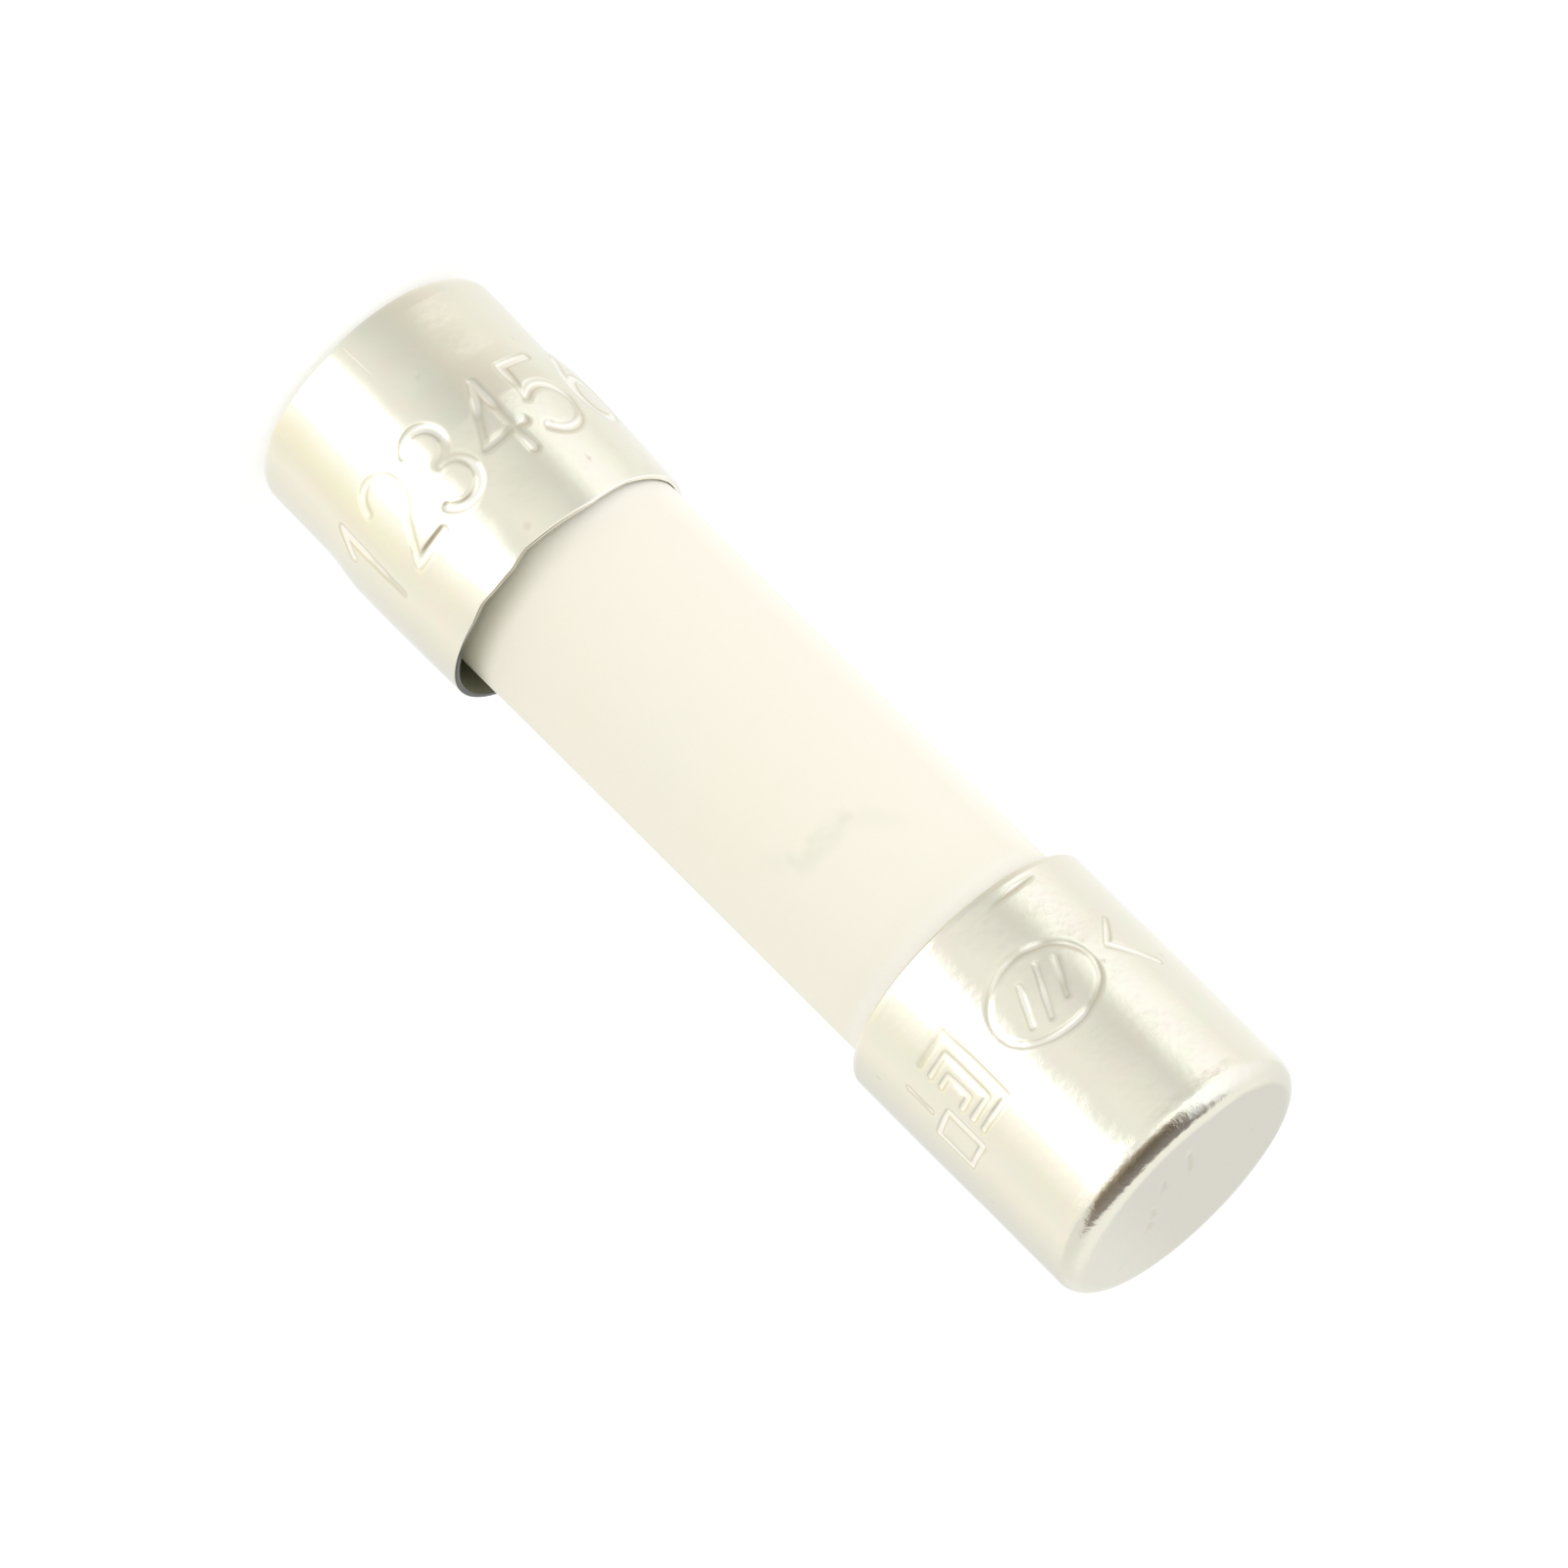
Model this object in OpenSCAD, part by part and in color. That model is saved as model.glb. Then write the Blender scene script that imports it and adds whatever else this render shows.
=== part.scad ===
// Ceramic cartridge fuse, standing on the end face of its lower cap.
// The axis of the tube is Z. Height 0 is the lowest point of the lower cap.

/* [Fuse] */
// Overall length, from end face to end face
fuse_length = 20.24; // [15:0.01:32]
// Clearance left where one curved face seats in another
seat_gap = 0.01; // [0.005:0.005:0.05]

/* [Ceramic tube] */
// Outside diameter of the tube
tube_od = 4.52; // [3.5:0.01:6.5]
// Diameter of the bore through the tube
tube_bore = 2.8; // [1.6:0.1:3.4]
// Rounding of the tube's end edges
tube_edge = 0.12; // [0.04:0.02:0.3]

/* [Caps] */
// Sheet thickness of a cap's wall
cap_wall = 0.1; // [0.08:0.01:0.2]
// Sheet thickness of a cap's closed end
cap_end = 0.15; // [0.1:0.01:0.3]
// Outside radius of the edge round a cap's end face
cap_corner = 0.42; // [0.25:0.01:0.6]

/* [Upper cap] */
// Length of the upper cap along the axis
upper_length = 5.41; // [3:0.01:7]
// Room between the tube and the upper cap's wall
upper_room = 0.24; // [0.1:0.01:0.4]
// Outside radius of the bend where the upper cap's mouth is turned in
lip_bend = 0.14; // [0.12:0.01:0.24]
// Clearance between the tube and the turned-in lip of the upper cap
lip_gap = 0.03; // [0.01:0.01:0.08]

/* [Lower cap] */
// Length of the lower cap along its own axis
lower_length = 5.21; // [4:0.01:7]
// Room between the tube and the lower cap's wall at its closed end
closed_room = 0.135; // [0.08:0.005:0.3]
// Room between the tube and the widest part of the lower cap's skirt
skirt_room = 0.22; // [0.12:0.01:0.4]
// Room between the tube and the lower cap's mouth
mouth_room = 0.16; // [0.1:0.01:0.3]
// Height at which the lower cap starts to widen
step_start = 1.75; // [1:0.05:2.4]
// Height over which the lower cap widens
step_height = 0.95; // [0.4:0.05:1.2]
// How far the foot of the lower cap sits off the tube's axis
lower_shift = 0.045; // [0:0.005:0.05]
// Direction in which the lower cap leans, in degrees from +X
lean_heading = -20; // [-180:1:180]

/* [Inside] */
// Diameter of the fuse wire
wire_d = 0.25; // [0.1:0.05:0.5]
// Clearance between the wire's ends and the wall of the bore
wire_clearance = 0.18; // [0.1:0.02:0.4]
// Thickness of the solder between a cap's end and the tube's end
solder_film = 0.15; // [0.12:0.01:0.3]
// Height to which solder fills the bore at each end
solder_plug = 0.6; // [0.3:0.1:1.5]
// Height to which solder rises round the tube, from the tube's end
solder_collar = 0.95; // [0.3:0.05:1.1]

/* [Hidden] */
$fn = 96;

// Dips in the lower cap's mouth: angle from the front towards +X, and depth
mouth_dips = [
    [-80, 0], [-50, 0.06], [-30, 0.04], [2, 0.14], [10, 0.06],
    [22, 0.06], [29, 0.09], [38, 0.04], [54, 0]
];

// Numbers of straight stretches that follow the skirt's two curves
step_segments = 6;
taper_segments = 5;

// A little more than enough, for cuts that run past a face
past = 0.5;

// How far the flat areas of one section run into each other
overlap = 0.1;

tube_r = tube_od / 2;
bore_r = tube_bore / 2;
upper_r = tube_r + upper_room + cap_wall;
closed_r = tube_r + closed_room + cap_wall;
skirt_r = tube_r + skirt_room + cap_wall;
mouth_r = tube_r + mouth_room + cap_wall;
lip_reach = upper_room + cap_wall - lip_gap;

// The mouth leans over until its inner edge seats on the tube
mouth_offset = mouth_room - seat_gap;
lean = atan((mouth_offset - lower_shift) / lower_length);
lift = (closed_r - cap_corner) * sin(lean) + cap_corner * (1 - cos(lean));

tube_bottom = lift + cap_end + solder_film;
tube_top = fuse_length - cap_end - solder_film;

// Outside radius of the lower cap's skirt: a smooth step out, then a barrelled taper to the mouth
function skirt_radius(z) =
    let (
        up = min(1, (z - step_start) / step_height),
        taper_start = step_start + step_height,
        down = max(0, (z - taper_start) / (lower_length - taper_start))
    )
    closed_r + (skirt_r - closed_r) * (1 - cos(180 * up)) / 2 - (skirt_r - mouth_r) * pow(down, 2);

skirt_heights = [
    for (i = [0:step_segments]) step_start + step_height * i / step_segments,
    for (i = [1:taper_segments])
        step_start + step_height + (lower_length - step_start - step_height) * i / taper_segments
];

// Half section of a round form between two heights, with its outer edges rounded
module round_form(r, z0, z1, bottom_round, top_round) {
    translate([0, z0 + bottom_round])
        square([r, z1 - z0 - bottom_round - top_round]);
    translate([0, z0])
        square([r - bottom_round, bottom_round + overlap]);
    translate([0, z1 - top_round - overlap])
        square([r - top_round, top_round + overlap]);
    if (bottom_round > 0)
        translate([r - bottom_round, z0 + bottom_round])
            circle(bottom_round);
    if (top_round > 0)
        translate([r - top_round, z1 - top_round])
            circle(top_round);
}

// Half section of the room inside the upper cap, with the closed end at the bottom
module upper_room_form(inset = 0) {
    round_form(
        upper_r - cap_wall - inset, cap_end, upper_length - cap_wall,
        cap_corner - cap_wall, lip_bend - cap_wall
    );
}

module upper_shell() {
    rotate_extrude()
        difference() {
            round_form(upper_r, 0, upper_length, cap_corner, lip_bend);
            upper_room_form();
            translate([0, cap_end + past])
                square([upper_r - lip_reach, upper_length]);
        }
}

// Half section of the lower cap, or with an inset of the room inside it
module lower_form(inset, floor_height, top) {
    corner = cap_corner - inset;
    round_form(closed_r - inset, floor_height, step_start, corner, 0);
    polygon(concat(
        [[0, step_start]],
        [for (z = skirt_heights) [skirt_radius(z) - inset, z]],
        [[mouth_r - inset, top], [0, top]]
    ));
}

// The strip that is missing along the front of the lower cap's mouth
module mouth_dip_cut() {
    rotate([90, 0, 0])
        linear_extrude(mouth_r + past)
            polygon(concat(
                [for (dip = mouth_dips) [mouth_r * sin(dip[0]), lower_length - dip[1]]],
                [[mouth_r * sin(mouth_dips[len(mouth_dips) - 1][0]), lower_length + past],
                 [mouth_r * sin(mouth_dips[0][0]), lower_length + past]]
            ));
}

module lower_shell() {
    difference() {
        rotate_extrude()
            difference() {
                lower_form(0, 0, lower_length);
                lower_form(cap_wall, cap_end, lower_length + past);
            }
        mouth_dip_cut();
    }
}

// Puts a lower cap that is drawn upright where it sits on the tube
module on_lower_seat() {
    rotate([0, 0, lean_heading])
        translate([lower_shift, 0, lift])
            rotate([0, lean, 0])
                rotate([0, 0, -lean_heading])
                    children();
}

// Puts an upper cap that is drawn with its end face down where it sits on the tube
module on_upper_seat() {
    translate([0, 0, fuse_length])
        mirror([0, 0, 1])
            children();
}

// The straight run of the fuse wire, grown by a clearance where it is used as a cut
module wire_run(clearance = 0) {
    reach = bore_r - wire_d / 2 - wire_clearance;
    z0 = tube_bottom - solder_film / 3;
    z1 = tube_top + solder_film / 3;
    slant = atan(2 * reach / (z1 - z0));
    translate([-reach, 0, z0])
        rotate([0, slant, 0])
            translate([0, 0, -clearance])
                cylinder(d = wire_d + 2 * clearance, h = (z1 - z0) / cos(slant) + 2 * clearance);
}

// Solid stand-in for the tube from one end on, which the solder flows round
module tube_envelope(from, to) {
    translate([0, 0, from])
        cylinder(r = tube_r + seat_gap, h = to - from);
}

module bore_filling(from, to) {
    translate([0, 0, from])
        cylinder(r = bore_r - seat_gap, h = to - from);
}

module ceramic_tube() {
    color([0.97, 0.94, 0.87])
        translate([0, 0, tube_bottom])
            rotate_extrude()
                difference() {
                    round_form(tube_r, 0, tube_top - tube_bottom, tube_edge, tube_edge);
                    translate([0, -past])
                        square([bore_r, tube_top - tube_bottom + 2 * past]);
                }
}

module lower_cap() {
    color([0.86, 0.84, 0.78])
        on_lower_seat() lower_shell();
}

module upper_cap() {
    color([0.86, 0.84, 0.78])
        on_upper_seat() upper_shell();
}

module fuse_wire() {
    color([0.8, 0.55, 0.35])
        wire_run();
}

module quartz_sand() {
    color([0.9, 0.88, 0.8])
        difference() {
            bore_filling(tube_bottom + solder_plug, tube_top - solder_plug);
            wire_run(seat_gap);
        }
}

module lower_solder() {
    color([0.7, 0.71, 0.72])
        difference() {
            union() {
                difference() {
                    on_lower_seat()
                        rotate_extrude()
                            intersection() {
                                lower_form(cap_wall + seat_gap, cap_end, lower_length);
                                square([closed_r, cap_end + solder_film + solder_collar]);
                            }
                    tube_envelope(tube_bottom, tube_top);
                }
                bore_filling(tube_bottom - solder_film / 2, tube_bottom + solder_plug);
            }
            wire_run(seat_gap);
        }
}

module upper_solder() {
    color([0.7, 0.71, 0.72])
        difference() {
            union() {
                difference() {
                    on_upper_seat()
                        rotate_extrude()
                            intersection() {
                                upper_room_form(seat_gap);
                                square([upper_r, cap_end + solder_film + solder_collar]);
                            }
                    tube_envelope(tube_bottom, tube_top);
                }
                bore_filling(tube_top - solder_plug, tube_top + solder_film / 2);
            }
            wire_run(seat_gap);
        }
}

ceramic_tube();
lower_cap();
upper_cap();
fuse_wire();
quartz_sand();
lower_solder();
upper_solder();
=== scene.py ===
# %% [markdown]
# # A ceramic cartridge fuse
# The real fuse is 20 mm long. A pale ceramic tube holds a thin wire in quartz sand, and a cap
# drawn from thin sheet and plated with nickel closes each end. One cap sits slightly cocked.
# The imported CAD model is loaded first. The looks are then made around it: smooth caps with
# stamped marks, finishes, and a small studio.

# %% Load the frame
import math
import bpy
from mathutils import Matrix, Vector


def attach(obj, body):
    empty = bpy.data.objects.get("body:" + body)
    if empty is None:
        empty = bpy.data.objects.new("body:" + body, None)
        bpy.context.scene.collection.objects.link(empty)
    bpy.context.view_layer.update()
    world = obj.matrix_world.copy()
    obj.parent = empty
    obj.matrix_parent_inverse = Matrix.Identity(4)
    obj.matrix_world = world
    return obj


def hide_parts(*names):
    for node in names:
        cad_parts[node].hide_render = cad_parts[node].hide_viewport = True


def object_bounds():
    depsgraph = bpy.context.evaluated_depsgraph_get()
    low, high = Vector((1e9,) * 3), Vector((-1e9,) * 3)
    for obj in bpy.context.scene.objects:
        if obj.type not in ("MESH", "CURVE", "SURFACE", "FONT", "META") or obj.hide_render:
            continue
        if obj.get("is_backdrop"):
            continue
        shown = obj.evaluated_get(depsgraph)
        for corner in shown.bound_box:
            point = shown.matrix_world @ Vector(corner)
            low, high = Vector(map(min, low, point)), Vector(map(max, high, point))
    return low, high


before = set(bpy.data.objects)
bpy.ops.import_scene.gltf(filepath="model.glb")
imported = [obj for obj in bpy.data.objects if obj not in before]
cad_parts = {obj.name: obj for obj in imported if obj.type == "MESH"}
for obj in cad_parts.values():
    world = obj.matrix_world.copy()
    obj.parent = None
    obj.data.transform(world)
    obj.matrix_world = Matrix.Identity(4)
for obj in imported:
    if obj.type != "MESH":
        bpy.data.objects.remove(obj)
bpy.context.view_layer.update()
MM = 0.001
print("CAD nodes:", ", ".join(sorted(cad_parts)))

# %% [markdown]
# ## Colour management
# The Standard view transform shows a colour as it is written, which suits a pale object on a
# white ground. Filmic transforms would grey the white down.

# %% Colour management
scene = bpy.context.scene
scene.view_settings.view_transform = "Standard"
print("view transform:", scene.view_settings.view_transform)

# %% [markdown]
# ## Camera
# A small part is photographed from a distance with a long lens, so its two ends look almost
# equally large. The lens follows from three numbers: how far the camera is, how many pixels a
# millimetre takes up there, and the size of the picture. The camera could be turned by Euler
# angles, but writing its three axes makes the picture's turn plain: the fuse stands upright in
# the frame, and the picture shows it lying across the diagonal, so the camera is rolled.

# %% Camera
PICTURE_PIXELS = 1600
SENSOR_MM = 36.0
CAMERA_DISTANCE = 300.0
CAMERA_ELEVATION = math.radians(17.93)
PIXELS_PER_MM = 61.27
AXIS_BELOW_LEVEL = math.radians(44.725)
TARGET = Vector((0.0, 0.0, 10.24))
TARGET_OFF_CENTRE = (-6.5, 2.4)
NEAREST_M, FARTHEST_M = 0.01, 50.0

roll = math.pi / 2 + AXIS_BELOW_LEVEL
level = Vector((1.0, 0.0, 0.0))
back = Vector((0.0, -math.cos(CAMERA_ELEVATION), math.sin(CAMERA_ELEVATION)))
rise = Vector((0.0, math.sin(CAMERA_ELEVATION), math.cos(CAMERA_ELEVATION)))
camera_right = level * math.cos(roll) + rise * math.sin(roll)
camera_up = rise * math.cos(roll) - level * math.sin(roll)
camera_place = TARGET + back * CAMERA_DISTANCE
camera_place -= camera_right * (TARGET_OFF_CENTRE[0] / PIXELS_PER_MM)
camera_place -= camera_up * (TARGET_OFF_CENTRE[1] / PIXELS_PER_MM)

camera_data = bpy.data.cameras.new("camera")
camera_data.sensor_width = SENSOR_MM
camera_data.lens = PIXELS_PER_MM * CAMERA_DISTANCE * SENSOR_MM / PICTURE_PIXELS
camera_data.clip_start, camera_data.clip_end = NEAREST_M, FARTHEST_M
camera = bpy.data.objects.new("camera", camera_data)
scene.collection.objects.link(camera)
turn = Matrix((camera_right, camera_up, back)).transposed().to_4x4()
camera.matrix_world = Matrix.Translation(camera_place * MM) @ turn
scene.camera = camera
print("lens: %.1f mm, camera at" % camera_data.lens, [round(v, 1) for v in camera_place])

# %% [markdown]
# ## Sizes of the drawn caps and the tube
# The caps are thin shells, and these are the same millimetres that the CAD source uses. They are
# written once here, and every profile below is worked out from them.

# %% Sizes in millimetres
FUSE_LENGTH = 20.24
TUBE_RADIUS = 2.26
BORE_RADIUS = 1.4
TUBE_EDGE = 0.12
CAP_WALL = 0.1
CAP_END = 0.15
CAP_CORNER = 0.42
SOLDER_FILM = 0.15
UPPER_LENGTH = 5.41
UPPER_RADIUS = 2.6
LIP_BEND = 0.14
LIP_GAP = 0.03
LOWER_LENGTH = 5.21
CLOSED_RADIUS = 2.495
SKIRT_RADIUS = 2.58
MOUTH_RADIUS = 2.52
STEP_START = 1.75
STEP_HEIGHT = 0.95
MOUTH_OFFSET = 0.15
LOWER_SHIFT = 0.045
LEAN_HEADING = math.radians(-20.0)
CUT_EDGE = 0.02

lean = math.atan((MOUTH_OFFSET - LOWER_SHIFT) / LOWER_LENGTH)
lift = (CLOSED_RADIUS - CAP_CORNER) * math.sin(lean) + CAP_CORNER * (1 - math.cos(lean))
print("the lower cap leans %.2f degrees, and its foot is raised %.3f mm" % (math.degrees(lean), lift))

# %% [markdown]
# ## Profiles
# Every main piece of this fuse is a body of revolution, so its shape is one line of radius and
# height. A profile could be drawn by hand as a curve. Here it is a mesh of plain points, because
# Geometry Nodes can read a point by its number, and the points can be close together where a
# mark is stamped and far apart where the wall is plain. Two numbers go with each point: which
# side it lies on (0 inside, 1 outside, 2 on the cut edge) and how much it follows the wavy mouth.


# %% Profile helpers
def arc_points(centre_r, centre_z, radius, start, end, steps):
    """Points on a round corner in the plane of radius and height, angles in degrees."""
    found = []
    for i in range(steps + 1):
        a = math.radians(start + (end - start) * i / steps)
        found.append((centre_r + radius * math.cos(a), centre_z + radius * math.sin(a)))
    return found


def heights(start, end, pitch, fine=(0.0, 0.0), fine_pitch=0.03):
    """Heights from start to end, closer together inside the fine stretch."""
    found, z = [], start
    while z < end - 1e-6:
        found.append(z)
        step = fine_pitch if fine[0] <= z < fine[1] else pitch
        z = min(z + step, fine[0]) if z < fine[0] < z + step else z + step
    return found + [end]


def inside_floor(flat):
    """The inside of a cap's closed end, from its rounded corner to the axis."""
    corner = arc_points(flat, CAP_END + CAP_CORNER - CAP_WALL, CAP_CORNER - CAP_WALL, 0, -90, 6)
    return corner + [(flat - 0.1, CAP_END), (1.0, CAP_END), (0.0, CAP_END)]


def profile_object(name, points):
    """A mesh of points (radius, height, outside, mouth) for the tree to read by number."""
    mesh = bpy.data.meshes.new(name)
    mesh.from_pydata([(r * MM, 0.0, z * MM) for r, z, outside, mouth in points], [], [])
    for k, title in ((2, "outside"), (3, "mouth")):
        attribute = mesh.attributes.new(title, "FLOAT", "POINT")
        attribute.data.foreach_set("value", [float(p[k]) for p in points])
    made = bpy.data.objects.new(name, mesh)
    scene.collection.objects.link(made)
    print(name, "has", len(points), "points")
    return made


# %% [markdown]
# The lower cap is straight next to its closed end, steps out over a smooth shoulder, and then
# narrows a little towards its mouth, like a barrel. The shoulder is half a cosine wave and the
# barrel a parabola, which meet without a kink.


# %% Lower cap profile
def lower_radius(z):
    up = min(1.0, max(0.0, (z - STEP_START) / STEP_HEIGHT))
    taper_start = STEP_START + STEP_HEIGHT
    down = max(0.0, (z - taper_start) / (LOWER_LENGTH - taper_start))
    step = (SKIRT_RADIUS - CLOSED_RADIUS) * (1 - math.cos(math.pi * up)) / 2
    return CLOSED_RADIUS + step - (SKIRT_RADIUS - MOUTH_RADIUS) * down ** 2


def mouth_share(z, start=4.4):
    """How far a height follows the wavy mouth: from 0 at the start to 1 at the mouth."""
    t = min(1.0, max(0.0, (z - start) / (LOWER_LENGTH - start)))
    return t * t * (3 - 2 * t)


WALL_PITCH = 0.09
LOWER_MARKS_BAND = (2.0, 4.06)
below_rim = LOWER_LENGTH - CUT_EDGE
flat_end = CLOSED_RADIUS - CAP_CORNER
outer = [(r, 0.0) for r in (0.0, 0.5, 1.0, 1.5, flat_end - 0.1, flat_end - 0.02)]
outer += arc_points(flat_end, CAP_CORNER, CAP_CORNER, -90, 0, 12)
lower_heights = heights(CAP_CORNER + 0.02, below_rim, WALL_PITCH, LOWER_MARKS_BAND)
outer += [(lower_radius(z), z) for z in lower_heights]
rim = arc_points(MOUTH_RADIUS - CUT_EDGE, below_rim, CUT_EDGE, 20, 90, 3)
rim += arc_points(MOUTH_RADIUS - CAP_WALL + CUT_EDGE, below_rim, CUT_EDGE, 90, 160, 3)
inner_heights = reversed(heights(CAP_CORNER + 0.1, below_rim, 0.2))
inner = [(lower_radius(z) - CAP_WALL, z) for z in inner_heights] + inside_floor(flat_end)
sides = ((outer, 1), (rim, 2), (inner, 0))
lower_points = [(r, z, side, mouth_share(z)) for line, side in sides for r, z in line]
lower_profile = profile_object("lower_profile", lower_points)

# %% [markdown]
# The upper cap is straight. Its mouth is bent in sharply, and the flat lip reaches almost to the
# tube. It is worked out with its end face down, then turned over. Turning it over would also turn
# its faces inside out, so its points run the other way, from the inside to the outside.

# %% Upper cap profile
UPPER_MARKS_BAND = (2.4, 4.2)
UPPER_MARKS_PITCH = 0.034
LIP_BAND_START = 4.83
upper_flat = UPPER_RADIUS - CAP_CORNER
below_bend = UPPER_LENGTH - LIP_BEND - 0.02
face_radii = [0.0, 0.3] + heights(0.5, 1.4, 0.05) + [1.7, 1.9, upper_flat - 0.1, upper_flat - 0.02]
outer = [(r, 0.0) for r in face_radii]
outer += arc_points(upper_flat, CAP_CORNER, CAP_CORNER, -90, 0, 16)
upper_heights = heights(CAP_CORNER + 0.02, 4.78, WALL_PITCH, UPPER_MARKS_BAND, UPPER_MARKS_PITCH)
upper_heights += heights(LIP_BAND_START, below_bend, 0.035)
outer += [(UPPER_RADIUS, z) for z in upper_heights]
lip_centre = (UPPER_RADIUS - LIP_BEND, UPPER_LENGTH - LIP_BEND)
lip_edge = TUBE_RADIUS + LIP_GAP
outer += arc_points(*lip_centre, LIP_BEND, 0, 90, 10)
outer += arc_points(lip_edge + CUT_EDGE, UPPER_LENGTH - CUT_EDGE, CUT_EDGE, 90, 160, 3)
outer += arc_points(lip_edge + CUT_EDGE, UPPER_LENGTH - CAP_WALL + CUT_EDGE, CUT_EDGE, 200, 250, 2)
inner = arc_points(*lip_centre, LIP_BEND - CAP_WALL, 90, 0, 4)
inner += [(UPPER_RADIUS - CAP_WALL, z) for z in reversed(heights(CAP_CORNER + 0.1, below_bend, 0.3))]
inner += inside_floor(upper_flat)
turned_over = [(r, FUSE_LENGTH - z, side, 0) for line, side in ((outer, 1), (inner, 0)) for r, z in line]
upper_profile = profile_object("upper_profile", list(reversed(turned_over)))

# %% [markdown]
# The tube is a plain extruded and fired ceramic pipe. Its profile is a closed loop: up the
# outside, over the top, down the bore and back. The last point repeats the first, and the weld
# in the tree closes it.

# %% Tube profile
TUBE_PITCH = 0.14
BORE_PITCH = 1.0
tube_bottom = lift + CAP_END + SOLDER_FILM
tube_top = FUSE_LENGTH - CAP_END - SOLDER_FILM
tube_heights = heights(tube_bottom + TUBE_EDGE + 0.05, tube_top - TUBE_EDGE - 0.05, TUBE_PITCH)
loop = arc_points(TUBE_RADIUS - TUBE_EDGE, tube_bottom + TUBE_EDGE, TUBE_EDGE, -90, 0, 5)
loop += [(TUBE_RADIUS, z) for z in tube_heights]
loop += arc_points(TUBE_RADIUS - TUBE_EDGE, tube_top - TUBE_EDGE, TUBE_EDGE, 0, 90, 5)
loop += [(BORE_RADIUS, z) for z in reversed(heights(tube_bottom, tube_top, BORE_PITCH))]
loop.append(loop[0])
tube_profile = profile_object("tube_profile", [(r, z, 1, 0) for r, z in loop])

# %% [markdown]
# ## Stamped marks
# The real caps carry marks pressed into the sheet with a punch: shallow, round-bottomed grooves.
# Here they are plain numbers and simple shapes. Each is a stroke drawn flat, in millimetres round
# the cap and along it, then wrapped onto the wall. A mark could be a bump in the material, but
# it would vanish from the outline and from the exported mesh, so the strokes press real geometry.

# %% Strokes for the numbers
NUMBER_HEIGHT = 1.6
NUMBER_WIDTH = 0.84


def ring(x, y, rx, ry, start=0.0, end=360.0, steps=28):
    turns = [math.radians(start + (end - start) * i / steps) for i in range(steps + 1)]
    return [(x + rx * math.cos(a), y + ry * math.sin(a)) for a in turns]


NUMBERS = {
    1: [[(0.2, 0.74), (0.6, 1.0), (0.6, 0.0)]],
    2: [ring(0.5, 0.72, 0.47, 0.28, 165, -35) + [(0.04, 0.0), (1.0, 0.0)]],
    3: [ring(0.46, 0.76, 0.44, 0.24, 150, -90) + ring(0.46, 0.26, 0.52, 0.26, 90, -150)],
    4: [[(0.74, 0.0), (0.74, 1.0), (0.0, 0.32), (1.0, 0.32)]],
    5: [[(0.94, 1.0), (0.12, 1.0), (0.06, 0.54)] + ring(0.44, 0.31, 0.54, 0.31, 125, -145)],
    6: [ring(0.95, 0.35, 0.93, 0.65, 105, 180, 12) + ring(0.5, 0.3, 0.48, 0.3, 170, -190)],
    7: [[(0.0, 1.0), (1.0, 1.0), (0.36, 0.0)]],
    8: [ring(0.5, 0.77, 0.38, 0.23), ring(0.5, 0.27, 0.49, 0.27)],
}
print("numbers drawn:", len(NUMBERS))

# %% [markdown]
# The numbers run round the lower cap with their feet towards the mouth, and the last two come to
# lie on the far side. On the upper cap there are an oval with three bars in it, three brackets one
# inside the other, a tick, a small box and a short groove, and by its mouth there is a narrow dent
# that runs out at both ends. Something hard has also nicked the end face in four places. A stroke
# is a list of points, each with its place round the wall and its height. Where a mark runs out,
# its points are lifted off the wall, so that less of it is pressed in.

# %% Lay out the marks
FIRST_NUMBER_AT = 2.86
NUMBER_PITCH = 1.17
NUMBERS_FOOT = 3.79
lower_strokes = []
for place, strokes in enumerate(NUMBERS.values()):
    start = FIRST_NUMBER_AT - place * NUMBER_PITCH
    for stroke in strokes:
        lower_strokes.append(
            [(start - x * NUMBER_WIDTH, NUMBERS_FOOT - y * NUMBER_HEIGHT) for x, y in stroke])

OVAL_AT = (-0.64, 16.85)
OVAL_HALF = (1.06, 0.76)
BAR_PITCH = 0.4
upper_strokes = [ring(*OVAL_AT, *OVAL_HALF, steps=60)]
for k in (-1, 0, 1):
    bar_at = OVAL_AT[0] + BAR_PITCH * k
    reach = 0.42 - 0.1 * abs(k)
    upper_strokes.append(
        [(bar_at - reach / 2, OVAL_AT[1] - reach), (bar_at + reach / 2, OVAL_AT[1] + reach)])
BRACKETS_AT = (1.82, 16.86)
BRACKET_REACHES = (0.78, 0.52, 0.26)
for reach in BRACKET_REACHES:
    near, low, high = BRACKETS_AT[0] - reach, BRACKETS_AT[1] - reach, BRACKETS_AT[1] + reach
    upper_strokes.append([(BRACKETS_AT[0], low), (near, low), (near, high), (BRACKETS_AT[0], high)])
TICK = [(-2.62, 16.39), (-2.16, 16.83), (-2.87, 17.5)]
BOX = [(2.11, 16.93), (2.11, 17.77), (2.7, 17.73), (2.7, 16.93), (2.11, 16.93)]
SHORT_GROOVE = [(2.4, 16.1), (2.4, 16.65)]
DENT = [(-2.05, 15.1, 0.07), (-1.6, 15.11, 0.035), (-0.98, 15.17, 0.08)]
upper_strokes += [TICK, BOX, SHORT_GROOVE, DENT]
FACE_NICKS = [
    ((-0.38, -1.25), (-0.25, -0.65)), ((0.24, -1.2), (0.31, -0.9)),
    ((0.69, -0.48), (0.74, -0.22)), ((0.88, -0.08), (0.96, 0.14)),
]
print("strokes:", len(lower_strokes), "on the lower cap,", len(upper_strokes), "on the upper cap")


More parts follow.
